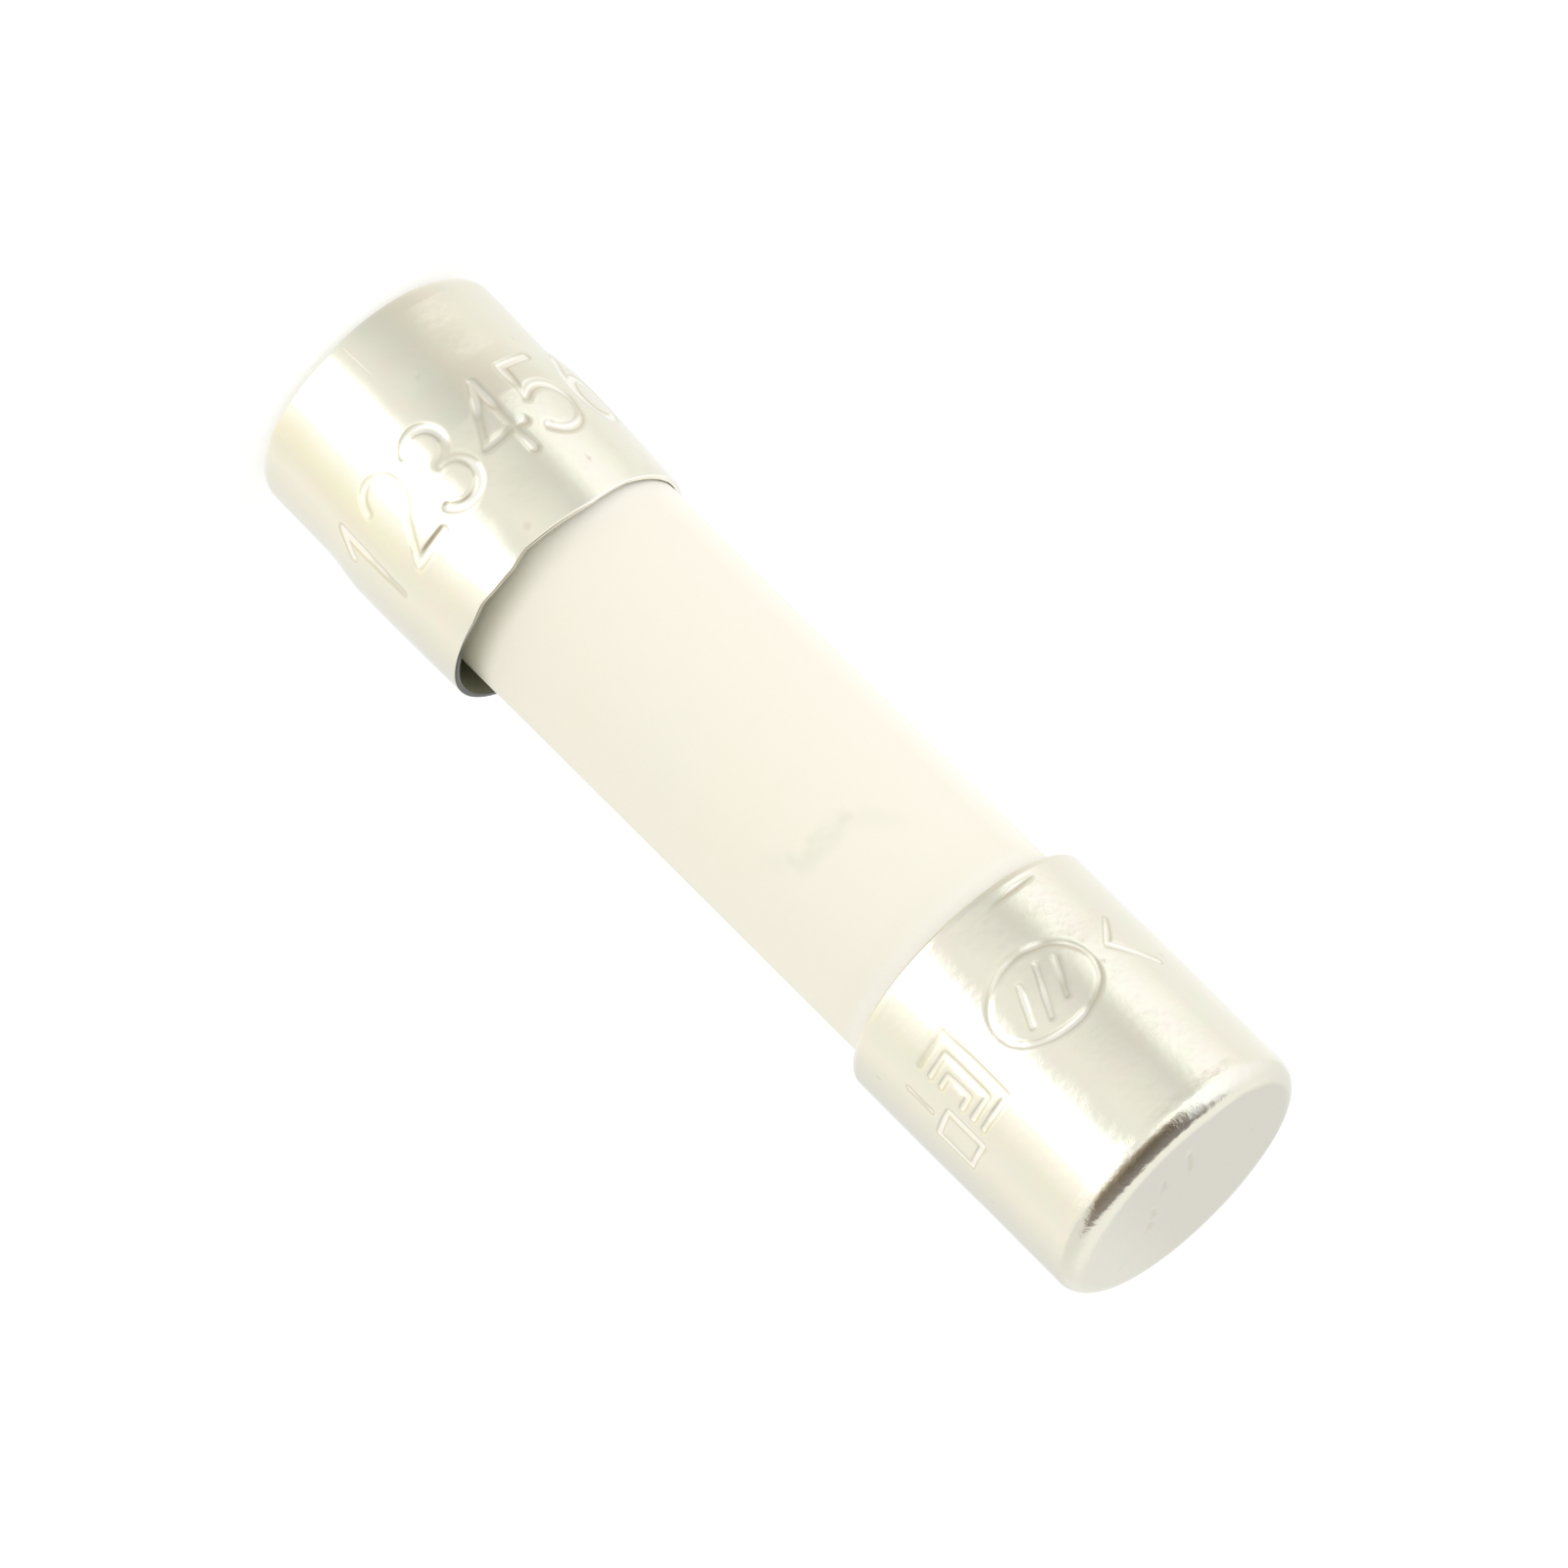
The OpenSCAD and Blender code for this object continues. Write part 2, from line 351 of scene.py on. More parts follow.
# %% Wrap the strokes onto the walls
def wrapped_marks(name, strokes, radius_at, nicks=(), pitch=0.04):
    """Edges that follow the strokes on the cap's wall and the nicks on its end face."""
    points, edges = [], []
    for stroke in strokes:
        first = len(points)
        for start, end in zip(stroke, stroke[1:]):
            parts = max(1, math.ceil(math.dist(start, end) / pitch))
            for k in range(parts):
                points.append([a + (b - a) * k / parts for a, b in zip(start, end)])
        points.append(stroke[-1])
        edges += [(i, i + 1) for i in range(first, len(points) - 1)]
    placed = []
    for u, z, *off_wall in points:
        r = radius_at(z)
        far = r + sum(off_wall)
        placed.append((far * math.sin(u / r) * MM, -far * math.cos(u / r) * MM, z * MM))
    for (x0, y0), (x1, y1) in nicks:
        edges.append((len(placed), len(placed) + 1))
        placed += [(x0 * MM, y0 * MM, FUSE_LENGTH * MM), (x1 * MM, y1 * MM, FUSE_LENGTH * MM)]
    mesh = bpy.data.meshes.new(name)
    mesh.from_pydata(placed, edges, [])
    made = bpy.data.objects.new(name, mesh)
    scene.collection.objects.link(made)
    print(name, "has", len(edges), "edges")
    return made


lower_marks = wrapped_marks("lower_marks", lower_strokes, lower_radius)
upper_marks = wrapped_marks("upper_marks", upper_strokes, lambda z: UPPER_RADIUS, FACE_NICKS)

# %% [markdown]
# ## The tree that turns a profile into a piece
# Blender has a Screw modifier that would turn a profile too. A Geometry Nodes tree is used
# instead, because the same tree then goes on to make the wall slightly uneven, press the marks,
# dip the mouth and lean the cap, each with an input of its own. A few helpers keep the trees short.
# A socket knows which tree it belongs to, so a helper that is given one needs no other word of
# where its node goes, and the same helpers serve the finishes and the studio further down.


# %% Node helpers
def add_node(tree, kind, inputs=None, **settings):
    """Adds a node, sets its properties, and fills or links its inputs by name or number."""
    made = tree.nodes.new(kind)
    for name, value in settings.items():
        setattr(made, name, value)
    for key, value in (inputs or {}).items():
        if isinstance(value, bpy.types.NodeSocket):
            tree.links.new(value, made.inputs[key])
        else:
            made.inputs[key].default_value = value
    return made


def link(source, target):
    source.id_data.links.new(source, target)


def calculate(operation, *values):
    """One step of arithmetic on linked or fixed values, of which one at least is linked."""
    tree = next(v.id_data for v in values if isinstance(v, bpy.types.NodeSocket))
    return add_node(tree, "ShaderNodeMath", dict(enumerate(values)), operation=operation).outputs[0]


def climb(value, start, end, low=0.0, high=1.0, smooth=False):
    """A number that goes from low to high while the value goes from start to end."""
    return add_node(value.id_data, "ShaderNodeMapRange", {
        "Value": value, "From Min": start, "From Max": end, "To Min": low, "To Max": high,
    }, interpolation_type="SMOOTHSTEP" if smooth else "LINEAR").outputs[0]


def noise_at(place, seed, scale, **more):
    """Soft noise at a place. The seed is its fourth coordinate, so each seed has its own noise."""
    inputs = {"Vector": place, "W": seed, "Scale": scale, **more}
    return add_node(place.id_data, "ShaderNodeTexNoise", inputs, noise_dimensions="4D").outputs[0]


# %% The tree's inputs
tree = bpy.data.node_groups.new("turned_piece", "GeometryNodeTree")
tree.interface.new_socket("Geometry", in_out="OUTPUT", socket_type="NodeSocketGeometry")
TREE_INPUTS = [
    ("Profile", "NodeSocketObject"), ("Segments", "NodeSocketInt"), ("Marks", "NodeSocketObject"),
    ("Groove Width", "NodeSocketFloat"), ("Groove Depth", "NodeSocketFloat"),
    ("Unevenness", "NodeSocketFloat"), ("Wave Length", "NodeSocketFloat"), ("Seed", "NodeSocketFloat"),
    ("Mouth Dip", "NodeSocketFloat"), ("Place", "NodeSocketVector"), ("Lean", "NodeSocketVector"),
    ("Finish", "NodeSocketMaterial"),
]
for title, kind in TREE_INPUTS:
    tree.interface.new_socket(title, in_out="INPUT", socket_type=kind)
sizes = tree.nodes.new("NodeGroupInput").outputs
print("inputs:", ", ".join(title for title, kind in TREE_INPUTS))

# %% [markdown]
# A flat grid becomes the piece. Its rows stand for the points of the profile and its columns for
# steps round the axis, so a vertex's number says which point it takes its radius and height from
# and how far round it goes. Angle 0 is the side towards the camera.

# %% Turn the profile
profile = add_node(tree, "GeometryNodeObjectInfo", {"Object": sizes["Profile"]}).outputs["Geometry"]
domain = add_node(tree, "GeometryNodeAttributeDomainSize", {0: profile}, component="MESH")
columns = calculate("ADD", sizes["Segments"], 1)
grid = add_node(tree, "GeometryNodeMeshGrid", {
    "Vertices X": domain.outputs["Point Count"], "Vertices Y": columns})
number = add_node(tree, "GeometryNodeInputIndex").outputs[0]
row = calculate("FLOOR", calculate("DIVIDE", calculate("ADD", number, 0.5), columns))
column = calculate("SUBTRACT", number, calculate("MULTIPLY", row, columns))
round_share = calculate("DIVIDE", column, sizes["Segments"])
angle = calculate("MULTIPLY", round_share, 2 * math.pi)


def profile_value(kind, source):
    inputs = {"Geometry": profile, "Value": source, "Index": row}
    return add_node(tree, "GeometryNodeSampleIndex", inputs, data_type=kind, domain="POINT").outputs[0]


def own_place():
    return add_node(tree, "GeometryNodeInputPosition").outputs[0]


def point_number(title):
    return add_node(tree, "GeometryNodeInputNamedAttribute", {"Name": title}, data_type="FLOAT").outputs[0]


def store_number(geometry, title, value):
    inputs = {"Geometry": geometry, "Name": title, "Value": value}
    made = add_node(tree, "GeometryNodeStoreNamedAttribute", inputs, data_type="FLOAT", domain="POINT")
    return made.outputs[0]


place_in_profile = profile_value("FLOAT_VECTOR", own_place())
outside = profile_value("FLOAT", point_number("outside"))
at_mouth = profile_value("FLOAT", point_number("mouth"))
apart = add_node(tree, "ShaderNodeSeparateXYZ", {0: place_in_profile}).outputs
radius, height = apart["X"], apart["Z"]
print("nodes so far:", len(tree.nodes))

# %% [markdown]
# The mouth of the lower cap is not cut quite square: it dips along the front and has a small
# kink. A float curve over the way round gives the depth of the dip there.

# %% Dip the mouth
MOUTH_DIPS = [
    (-80, 0.1), (-50, 0.56), (-30, 0.29), (2, 1.0), (10, 0.43), (22, 0.43),
    (29, 0.64), (38, 0.24), (54, 0.12), (72, 0.05), (100, 0.0),
]
way_round = calculate("FRACT", calculate("ADD", round_share, 0.5))
dip = add_node(tree, "ShaderNodeFloatCurve", {"Value": way_round})
line = dip.mapping.curves[0]
line.points[0].location, line.points[1].location = (0.0, 0.0), (1.0, 0.0)
for degrees, depth in MOUTH_DIPS:
    line.points.new(0.5 + degrees / 360, depth)
for point in line.points:
    point.handle_type = "VECTOR"
dip.mapping.update()
dip_depth = calculate("MULTIPLY", calculate("MULTIPLY", dip.outputs[0], at_mouth), sizes["Mouth Dip"])
dipped = calculate("SUBTRACT", height, dip_depth)
print("dips set at", [degrees for degrees, depth in MOUTH_DIPS], "degrees")

# %% [markdown]
# No drawn cap is perfectly round. A soft noise moves the wall in and out by a few thousandths of
# a millimetre. It is read at the wall's place, so the inside and the outside move together and
# the sheet keeps its thickness. On bright metal such a small wave is what bends the reflections.
# Near the axis the noise fades out, so that the end face stays closed at its middle.

# %% Make the wall uneven
FADE_RADIUS = 2.0 * MM
WELD = 2e-7
waves = calculate("DIVIDE", 1.0, sizes["Wave Length"])
sine, cosine = calculate("SINE", angle), calculate("COSINE", angle)


def around(distance, up):
    """The place at this distance from the axis and this height, on the way round."""
    return add_node(tree, "ShaderNodeCombineXYZ", {
        "X": calculate("MULTIPLY", distance, sine),
        "Y": calculate("MULTIPLY", calculate("MULTIPLY", distance, cosine), -1.0),
        "Z": up,
    }).outputs[0]


wave = noise_at(around(radius, dipped), sizes["Seed"], waves, Detail=1.0)
swing = calculate("MULTIPLY", calculate("SUBTRACT", wave, 0.5), sizes["Unevenness"])
fade = calculate("MINIMUM", calculate("DIVIDE", radius, FADE_RADIUS), 1.0)
uneven_radius = calculate("ADD", radius, calculate("MULTIPLY", swing, fade))
turned = add_node(tree, "GeometryNodeSetPosition", {
    "Geometry": grid.outputs[0], "Position": around(uneven_radius, dipped)}).outputs[0]
noted = store_number(turned, "outside", outside)
welded = add_node(tree, "GeometryNodeMergeByDistance", {"Geometry": noted, "Distance": WELD})
outward = add_node(tree, "GeometryNodeFlipFaces", {"Mesh": welded.outputs[0]}).outputs[0]
print("weld distance: %.4f mm" % (WELD / MM))

# %% [markdown]
# A punch leaves a groove that is deepest along the stroke and runs out smoothly at its sides.
# Geometry Proximity gives each vertex its distance from the nearest stroke, and a smooth step
# turns that distance into depth, measured along the surface's own normal. No punch strikes evenly,
# so a soft noise makes the stroke deeper here and fainter there. How far a vertex is pressed stays
# on the mesh as an attribute, so the finish can treat the grooves in its own way.

# %% Press the marks and finish the piece
BLOWS_PER_M = 1.2 / MM
BLOW_NOISE = (0.36, 0.56)
FAINTEST_BLOW = 0.4
marks = add_node(tree, "GeometryNodeObjectInfo", {"Object": sizes["Marks"]}).outputs["Geometry"]
near = add_node(tree, "GeometryNodeProximity", {0: marks}, target_element="EDGES").outputs["Distance"]
half_width = calculate("DIVIDE", sizes["Groove Width"], 2.0)
groove = climb(near, 0.0, half_width, 1.0, 0.0, smooth=True)
blows = noise_at(own_place(), sizes["Seed"], BLOWS_PER_M, Detail=1.0)
blow = climb(blows, *BLOW_NOISE, FAINTEST_BLOW, 1.0)
how_pressed = calculate("MULTIPLY", calculate("MULTIPLY", groove, blow), point_number("outside"))
kept = store_number(outward, "pressed", how_pressed)
depth = calculate("MULTIPLY", point_number("pressed"), sizes["Groove Depth"])
normal = add_node(tree, "GeometryNodeInputNormal").outputs[0]
push = add_node(tree, "ShaderNodeVectorMath", {
    0: normal, "Scale": calculate("MULTIPLY", depth, -1.0)}, operation="SCALE")
pressed = add_node(tree, "GeometryNodeSetPosition", {"Geometry": kept, "Offset": push.outputs[0]})
leaned = add_node(tree, "GeometryNodeTransform", {
    "Geometry": pressed.outputs[0], "Translation": sizes["Place"], "Rotation": sizes["Lean"]})
smooth = add_node(tree, "GeometryNodeSetShadeSmooth", {"Geometry": leaned.outputs[0]})
real = add_node(tree, "GeometryNodeRealizeInstances", {"Geometry": smooth.outputs[0]})
finished = add_node(tree, "GeometryNodeSetMaterial", {
    "Geometry": real.outputs[0], "Material": sizes["Finish"]})
link(finished.outputs[0], tree.nodes.new("NodeGroupOutput").inputs["Geometry"])
print("nodes in the tree:", len(tree.nodes))

# %% [markdown]
# ## Effects that several finishes share
# Three effects come back in several of these finishes: a cloudy change of tone, fine scratches
# from handling, and fine grain. Each is a shader node group, built once, that reads the piece's
# own coordinates in millimetres and puts out a mask or a height.


# %% Shader group helper
def effect_group(name, inputs, title):
    """A shader node group with number inputs, given as title and default, and one number output."""
    group = bpy.data.node_groups.new(name, "ShaderNodeTree")
    group.interface.new_socket("Place", in_out="INPUT", socket_type="NodeSocketVector")
    for name_in, default in inputs:
        made = group.interface.new_socket(name_in, in_out="INPUT", socket_type="NodeSocketFloat")
        made.default_value = default
    group.interface.new_socket(title, in_out="OUTPUT", socket_type="NodeSocketFloat")
    given = group.nodes.new("NodeGroupInput").outputs
    return group, given, group.nodes.new("NodeGroupOutput").inputs[title]


# %% Cloudy tone
cloudy_tone, given, result = effect_group(
    "cloudy_tone", [("Size", 1.0), ("Contrast", 1.0), ("Seed", 0.0)], "Mask")
cloud_scale = calculate("DIVIDE", 1.0, given["Size"])
noise = noise_at(given["Place"], given["Seed"], cloud_scale, Detail=3.0, Roughness=0.55)
spread = calculate("MULTIPLY", calculate("SUBTRACT", noise, 0.5), given["Contrast"])
link(add_node(cloudy_tone, "ShaderNodeClamp", {0: calculate("ADD", spread, 0.5)}).outputs[0], result)
print("made", cloudy_tone.name)

# %% [markdown]
# A fine scratch is long and thin. Noise that is stretched along one way and read only near its
# middle value gives thin, broken lines. A second noise says where there are any.

# %% Fine scratches
LINE_HALF = 0.012
PATCH_SCALE, PATCH_SEED_STEP = 0.9, 7.0
PATCH_START, PATCH_START_SWING, PATCH_FULL = 0.75, 0.4, 0.8
fine_scratches, given, result = effect_group(
    "fine_scratches", [("Spacing", 0.5), ("Stretch", 8.0), ("Amount", 0.5), ("Seed", 0.0)], "Mask")
stretch = add_node(fine_scratches, "ShaderNodeCombineXYZ", {
    "X": calculate("DIVIDE", 1.0, given["Spacing"]),
    "Y": calculate("DIVIDE", 1.0, given["Spacing"]),
    "Z": calculate("DIVIDE", 1.0, calculate("MULTIPLY", given["Spacing"], given["Stretch"])),
})
stretched = add_node(fine_scratches, "ShaderNodeVectorMath", {
    0: given["Place"], 1: stretch.outputs[0]}, operation="MULTIPLY").outputs[0]
lines = noise_at(stretched, given["Seed"], 1.0, Detail=2.0, Distortion=0.6)
off_middle = calculate("ABSOLUTE", calculate("SUBTRACT", lines, 0.5))
thin = climb(off_middle, 0.0, LINE_HALF, 1.0, 0.0)
patch_seed = calculate("ADD", given["Seed"], PATCH_SEED_STEP)
patches = noise_at(given["Place"], patch_seed, PATCH_SCALE, Detail=1.0)
swung = calculate("MULTIPLY", given["Amount"], PATCH_START_SWING)
patch_start = calculate("SUBTRACT", PATCH_START, swung)
link(calculate("MULTIPLY", thin, climb(patches, patch_start, PATCH_FULL)), result)
print("made", fine_scratches.name)

# %% Fine grain
CELL_SHARE = 0.4
fine_grain, given, result = effect_group("fine_grain", [("Size", 0.1), ("Seed", 0.0)], "Height")
grain_scale = calculate("DIVIDE", 1.0, given["Size"])
soft = noise_at(given["Place"], given["Seed"], grain_scale, Detail=4.0, Roughness=0.6)
cells = add_node(fine_grain, "ShaderNodeTexVoronoi", {
    "Vector": given["Place"], "Scale": grain_scale}, feature="F1").outputs["Distance"]
link(calculate("ADD", soft, calculate("MULTIPLY", cells, CELL_SHARE)), result)
print("made", fine_grain.name)

# %% [markdown]
# A cap that has been in a bin with others has small nicks: short, shallow dents at odd places,
# which are painted a little darker. A Voronoi pattern scatters one cell for each possible nick,
# and only some of the cells get one. The cells are turned and squeezed, so the nicks are longer
# than wide.

# %% Small nicks
NICK_TURN = (0.4, 0.7, 0.6)
NICK_SQUEEZE = (1.0, 2.2, 1.0)
small_nicks, given, result = effect_group(
    "small_nicks", [("Spacing", 1.0), ("Reach", 0.1), ("Share", 0.5), ("Seed", 0.0)], "Mask")
turned_place = add_node(small_nicks, "ShaderNodeMapping", {
    "Vector": given["Place"], "Rotation": NICK_TURN, "Scale": NICK_SQUEEZE}).outputs[0]
seeded = add_node(small_nicks, "ShaderNodeVectorMath", {
    0: turned_place, 1: given["Seed"]}, operation="ADD").outputs[0]
scattered = add_node(small_nicks, "ShaderNodeTexVoronoi", {
    "Vector": seeded, "Scale": calculate("DIVIDE", 1.0, given["Spacing"])}, feature="F1").outputs
distance = calculate("MULTIPLY", scattered["Distance"], given["Spacing"])
nick = climb(distance, 0.0, given["Reach"], 1.0, 0.0, smooth=True)
chance = add_node(small_nicks, "ShaderNodeSeparateColor", {0: scattered["Color"]}).outputs[0]
link(calculate("MULTIPLY", nick, calculate("LESS_THAN", chance, given["Share"])), result)
print("made", small_nicks.name)

# %% [markdown]
# ## Finishes
# A material starts the same way each time: a Principled shader, and the piece's own coordinates
# turned into millimetres, so that every size below can be read off a ruler. The tones are laid
# over each other one by one, each through a mask that says where it goes.


# %% Start of a finish
def new_finish(name):
    material = bpy.data.materials.new(name)
    material.use_nodes = True
    tree = material.node_tree
    tree.nodes.clear()
    shader = tree.nodes.new("ShaderNodeBsdfPrincipled")
    link(shader.outputs[0], tree.nodes.new("ShaderNodeOutputMaterial").inputs["Surface"])
    own = add_node(tree, "ShaderNodeTexCoord").outputs["Object"]
    in_mm = add_node(tree, "ShaderNodeMapping", {"Vector": own, "Scale": (1000.0, 1000.0, 1000.0)})
    return material, tree, shader, in_mm.outputs[0]


def use_effect(group, place, **values):
    made = add_node(place.id_data, "ShaderNodeGroup", node_tree=group)
    link(place, made.inputs["Place"])
    for title, value in values.items():
        made.inputs[title].default_value = value
    return made.outputs[0]


def between(mask, low, high):
    """A number that goes from low to high with the mask."""
    return climb(mask, 0.0, 1.0, low, high)


def blend_colours(mask, low, high):
    """A colour that goes from low to high with the mask, each one fixed or linked."""
    inputs = {0: mask}
    for k, colour in ((6, low), (7, high)):
        inputs[k] = colour if isinstance(colour, bpy.types.NodeSocket) else (*colour, 1.0)
    return add_node(mask.id_data, "ShaderNodeMix", inputs, data_type="RGBA").outputs[2]


def bumped(shader, height, distance):
    bump = add_node(height.id_data, "ShaderNodeBump", {"Height": height, "Distance": distance})
    link(bump.outputs[0], shader.inputs["Normal"])


# %% [markdown]
# Nickel plate is a warm, bright metal. It is never quite clean: handling leaves it a little
# duller in patches. The tone comes from the base colour and the gloss from a low roughness, so
# what the cap shows is mostly what stands around it. The lower cap is a little yellower than the
# upper one, and the left of its skirt is painted greyer, a painted shade. Stains could be painted
# one by one, but noise gives the same kind of stain with no picture. Where they lie is chance,
# from seeds: only their kind and size follow the photograph.

# %% Nickel plate: tones of the wall
NICKEL = (0.80, 0.765, 0.66)
NICKEL_DULL = (0.785, 0.735, 0.64)
NICKEL_GREENISH = (0.765, 0.765, 0.635)
NICKEL_YELLOW = (0.80, 0.76, 0.625)
NICKEL_PAINTED_SHADE = (0.74, 0.715, 0.60)
LOWER_CAP_Z = (6.0, 5.5)
SKIRT_SHADE_X = (-0.5, -1.1)
SKIRT_SHADE_Z = (1.9, 2.4)
nickel_plate, tree_n, shader, place = new_finish("nickel_plate")
shader.inputs["Metallic"].default_value = 1.0
clouds = use_effect(cloudy_tone, place, Size=1.3, Contrast=1.8, Seed=3.0)
stains = use_effect(cloudy_tone, place, Size=0.4, Contrast=2.8, Seed=17.0)
spot = add_node(tree_n, "ShaderNodeSeparateXYZ", {0: place}).outputs
on_lower = climb(spot["Z"], *LOWER_CAP_Z)
# The left of the lower cap's skirt is painted greyer: a painted shade.
skirt_painted_shade = calculate("MULTIPLY", climb(spot["X"], *SKIRT_SHADE_X), climb(spot["Z"], *SKIRT_SHADE_Z))
lower_plate = blend_colours(skirt_painted_shade, NICKEL_YELLOW, NICKEL_PAINTED_SHADE)
bright_plate = blend_colours(on_lower, NICKEL, lower_plate)
clouded_plate = blend_colours(clouds, bright_plate, NICKEL_DULL)
plate_colour = blend_colours(stains, clouded_plate, NICKEL_GREENISH)
print("nodes in nickel plate so far:", len(tree_n.nodes))

# %% [markdown]
# The flat of the end face is duller than the wall, partly its own finish and partly painted
# shade. A mask finds it by its height and by its distance from the axis, and the painted shade
# reaches a little further out on the left. The dull tone fades out towards the right, where the
# photograph is brighter: that fade is a painted fall of light across the face, a likeness to one
# picture more than a finish.

# %% Nickel plate: the end face
DULL_AND_PAINTED_SHADE_FACE = (0.68, 0.655, 0.565)
FACE_DEPTH = 0.05
LEFT_PART_X = (-1.1, -1.7)
PAINTED_SHADE_REACH = 0.16
FLAT_EDGE_OFF = (0.01, -0.07)
PAINTED_LIGHT_FADE_X = (0.4, 2.1)
above_wall = calculate("GREATER_THAN", spot["Z"], FUSE_LENGTH - FACE_DEPTH)
flattened = add_node(tree_n, "ShaderNodeVectorMath", {0: place, 1: (1.0, 1.0, 0.0)}, operation="MULTIPLY")
off_axis = add_node(tree_n, "ShaderNodeVectorMath", {0: flattened.outputs[0]}, operation="LENGTH")
painted_shade_reach = climb(spot["X"], *LEFT_PART_X, 0.0, PAINTED_SHADE_REACH)
from_rim = calculate("SUBTRACT", off_axis.outputs["Value"], painted_shade_reach)
in_flat = climb(from_rim, *(upper_flat + off for off in FLAT_EDGE_OFF))
on_face = calculate("MULTIPLY", above_wall, in_flat)
face_painted_light_side = climb(spot["X"], *PAINTED_LIGHT_FADE_X, 1.0, 0.0, smooth=True)
plate_colour = blend_colours(calculate("MULTIPLY", on_face, face_painted_light_side), plate_colour, DULL_AND_PAINTED_SHADE_FACE)
print("nodes in nickel plate so far:", len(tree_n.nodes))

# %% [markdown]
# The punch burnishes the bottom of each stroke, so a stroke is brighter than the wall along its
# middle, partly burnished metal and partly a painted highlight. Its sides are painted darker, a
# painted shade in the groove. The attribute that the tree kept says how far each place is pressed.
# How strong the two tones are was set by comparing renders with the photograph, so they also
# stand in for light that the plain studio doesn't give.

# %% Nickel plate: the stamped marks
BURNISHED_AND_HIGHLIGHT = (0.95, 0.925, 0.84)
FLANK_PAINTED_SHADE = (0.46, 0.43, 0.30)
IN_NICKS = (0.55, 0.50, 0.41)
MIDDLE_PRESSED = (0.25, 0.8)
FLANK_PRESSED = (0.02, 0.35)
FLANK_ON_WALL, FLANK_ON_FACE = 0.4, 0.22
BURNISH_HIGHLIGHT_SHARE = 0.75
NICK_TONE_SHARE = 0.3
nicks = use_effect(small_nicks, place, Spacing=0.9, Reach=0.12, Share=0.25, Seed=3.0)
stroke = add_node(tree_n, "ShaderNodeAttribute", attribute_name="pressed").outputs["Fac"]
stroke_middle = climb(stroke, *MIDDLE_PRESSED, smooth=True)
stroke_side = climb(stroke, *FLANK_PRESSED, smooth=True)
flank_shade = calculate("MULTIPLY", stroke_side, between(above_wall, FLANK_ON_WALL, FLANK_ON_FACE))
plate_colour = blend_colours(flank_shade, plate_colour, FLANK_PAINTED_SHADE)
struck_highlight = calculate("MULTIPLY", stroke_middle, calculate("SUBTRACT", 1.0, above_wall))
plate_colour = blend_colours(calculate("MULTIPLY", struck_highlight, BURNISH_HIGHLIGHT_SHARE), plate_colour, BURNISHED_AND_HIGHLIGHT)
# The nicks are painted a little darker.
plate_colour = blend_colours(calculate("MULTIPLY", nicks, NICK_TONE_SHARE), plate_colour, IN_NICKS)
print("nodes in nickel plate so far:", len(tree_n.nodes))

# %% [markdown]
# The inside of a cap is dull, and its colour is painted darker, a painted shade. The cut edge at
# the mouth is bright bare metal, but where the mouth stands open the photograph shows it as dark
# as the inside. Why is not known, so that stretch is simply painted dark.

# %% Nickel plate: inside and cut edge
CUT_METAL = (0.97, 0.95, 0.86)
CUT_PAINTED_DARK = (0.07, 0.07, 0.055)
INSIDE_PAINTED_SHADE = (0.5, 0.51, 0.41)
BRIGHT_CUT_X = (2.2, 1.2)
side = add_node(tree_n, "ShaderNodeAttribute", attribute_name="outside").outputs["Fac"]
plate_colour = blend_colours(side, INSIDE_PAINTED_SHADE, plate_colour)
cut_colour = blend_colours(climb(spot["X"], *BRIGHT_CUT_X), CUT_PAINTED_DARK, CUT_METAL)
link(blend_colours(climb(side, 1.0, 2.0), plate_colour, cut_colour), shader.inputs["Base Color"])
print("nodes in nickel plate so far:", len(tree_n.nodes))

# %% [markdown]
# Fine scratches catch the light, and where the sheet was drawn over the edge of the end face, it
# has stretched to a fine orange peel. This is texture a few thousandths of a millimetre deep and no
# shape of its own, so a bump is enough. Where the scratches and small nicks lie is chance.

# %% Nickel plate: gloss and fine relief
ROUGH_BRIGHT, ROUGH_CLOUDED, ROUGH_INSIDE = 0.11, 0.17, 0.6
ROUGHER_IN_SCRATCHES = 0.12
PEEL_RISES, PEEL_FALLS = (0.6, 0.3), (0.02, 0.05)
PITS_UPPER, PITS_LOWER, PITS_IN_PEEL = 0.45, 0.2, 2.2
SCRATCH_RELIEF, RIPPLE_RELIEF, NICK_RELIEF = 0.25, 0.45, 0.6
NICKEL_RELIEF_M = 0.000005
scratches = use_effect(fine_scratches, place, Spacing=0.5, Stretch=7.0, Amount=0.5, Seed=11.0)
pits = use_effect(fine_grain, place, Size=0.16, Seed=5.0)
ripples = use_effect(cloudy_tone, place, Size=0.5, Contrast=1.0, Seed=21.0)
scratched = calculate("MULTIPLY", scratches, ROUGHER_IN_SCRATCHES)
dull = calculate("ADD", between(clouds, ROUGH_BRIGHT, ROUGH_CLOUDED), scratched)
link(between(side, ROUGH_INSIDE, dull), shader.inputs["Roughness"])
near_end = climb(spot["Z"], *(FUSE_LENGTH - below for below in PEEL_RISES))
past_end = climb(spot["Z"], *(FUSE_LENGTH - below for below in PEEL_FALLS))
pits_on_wall = between(on_lower, PITS_UPPER, PITS_LOWER)
peel = between(calculate("MULTIPLY", near_end, past_end), pits_on_wall, PITS_IN_PEEL)
fine_relief = calculate(
    "SUBTRACT", calculate("MULTIPLY", pits, peel), calculate("MULTIPLY", scratches, SCRATCH_RELIEF))
broad_relief = calculate(
    "SUBTRACT", calculate("MULTIPLY", ripples, RIPPLE_RELIEF), calculate("MULTIPLY", nicks, NICK_RELIEF))
bumped(shader, calculate("ADD", fine_relief, broad_relief), NICKEL_RELIEF_M)
print("made", nickel_plate.name)
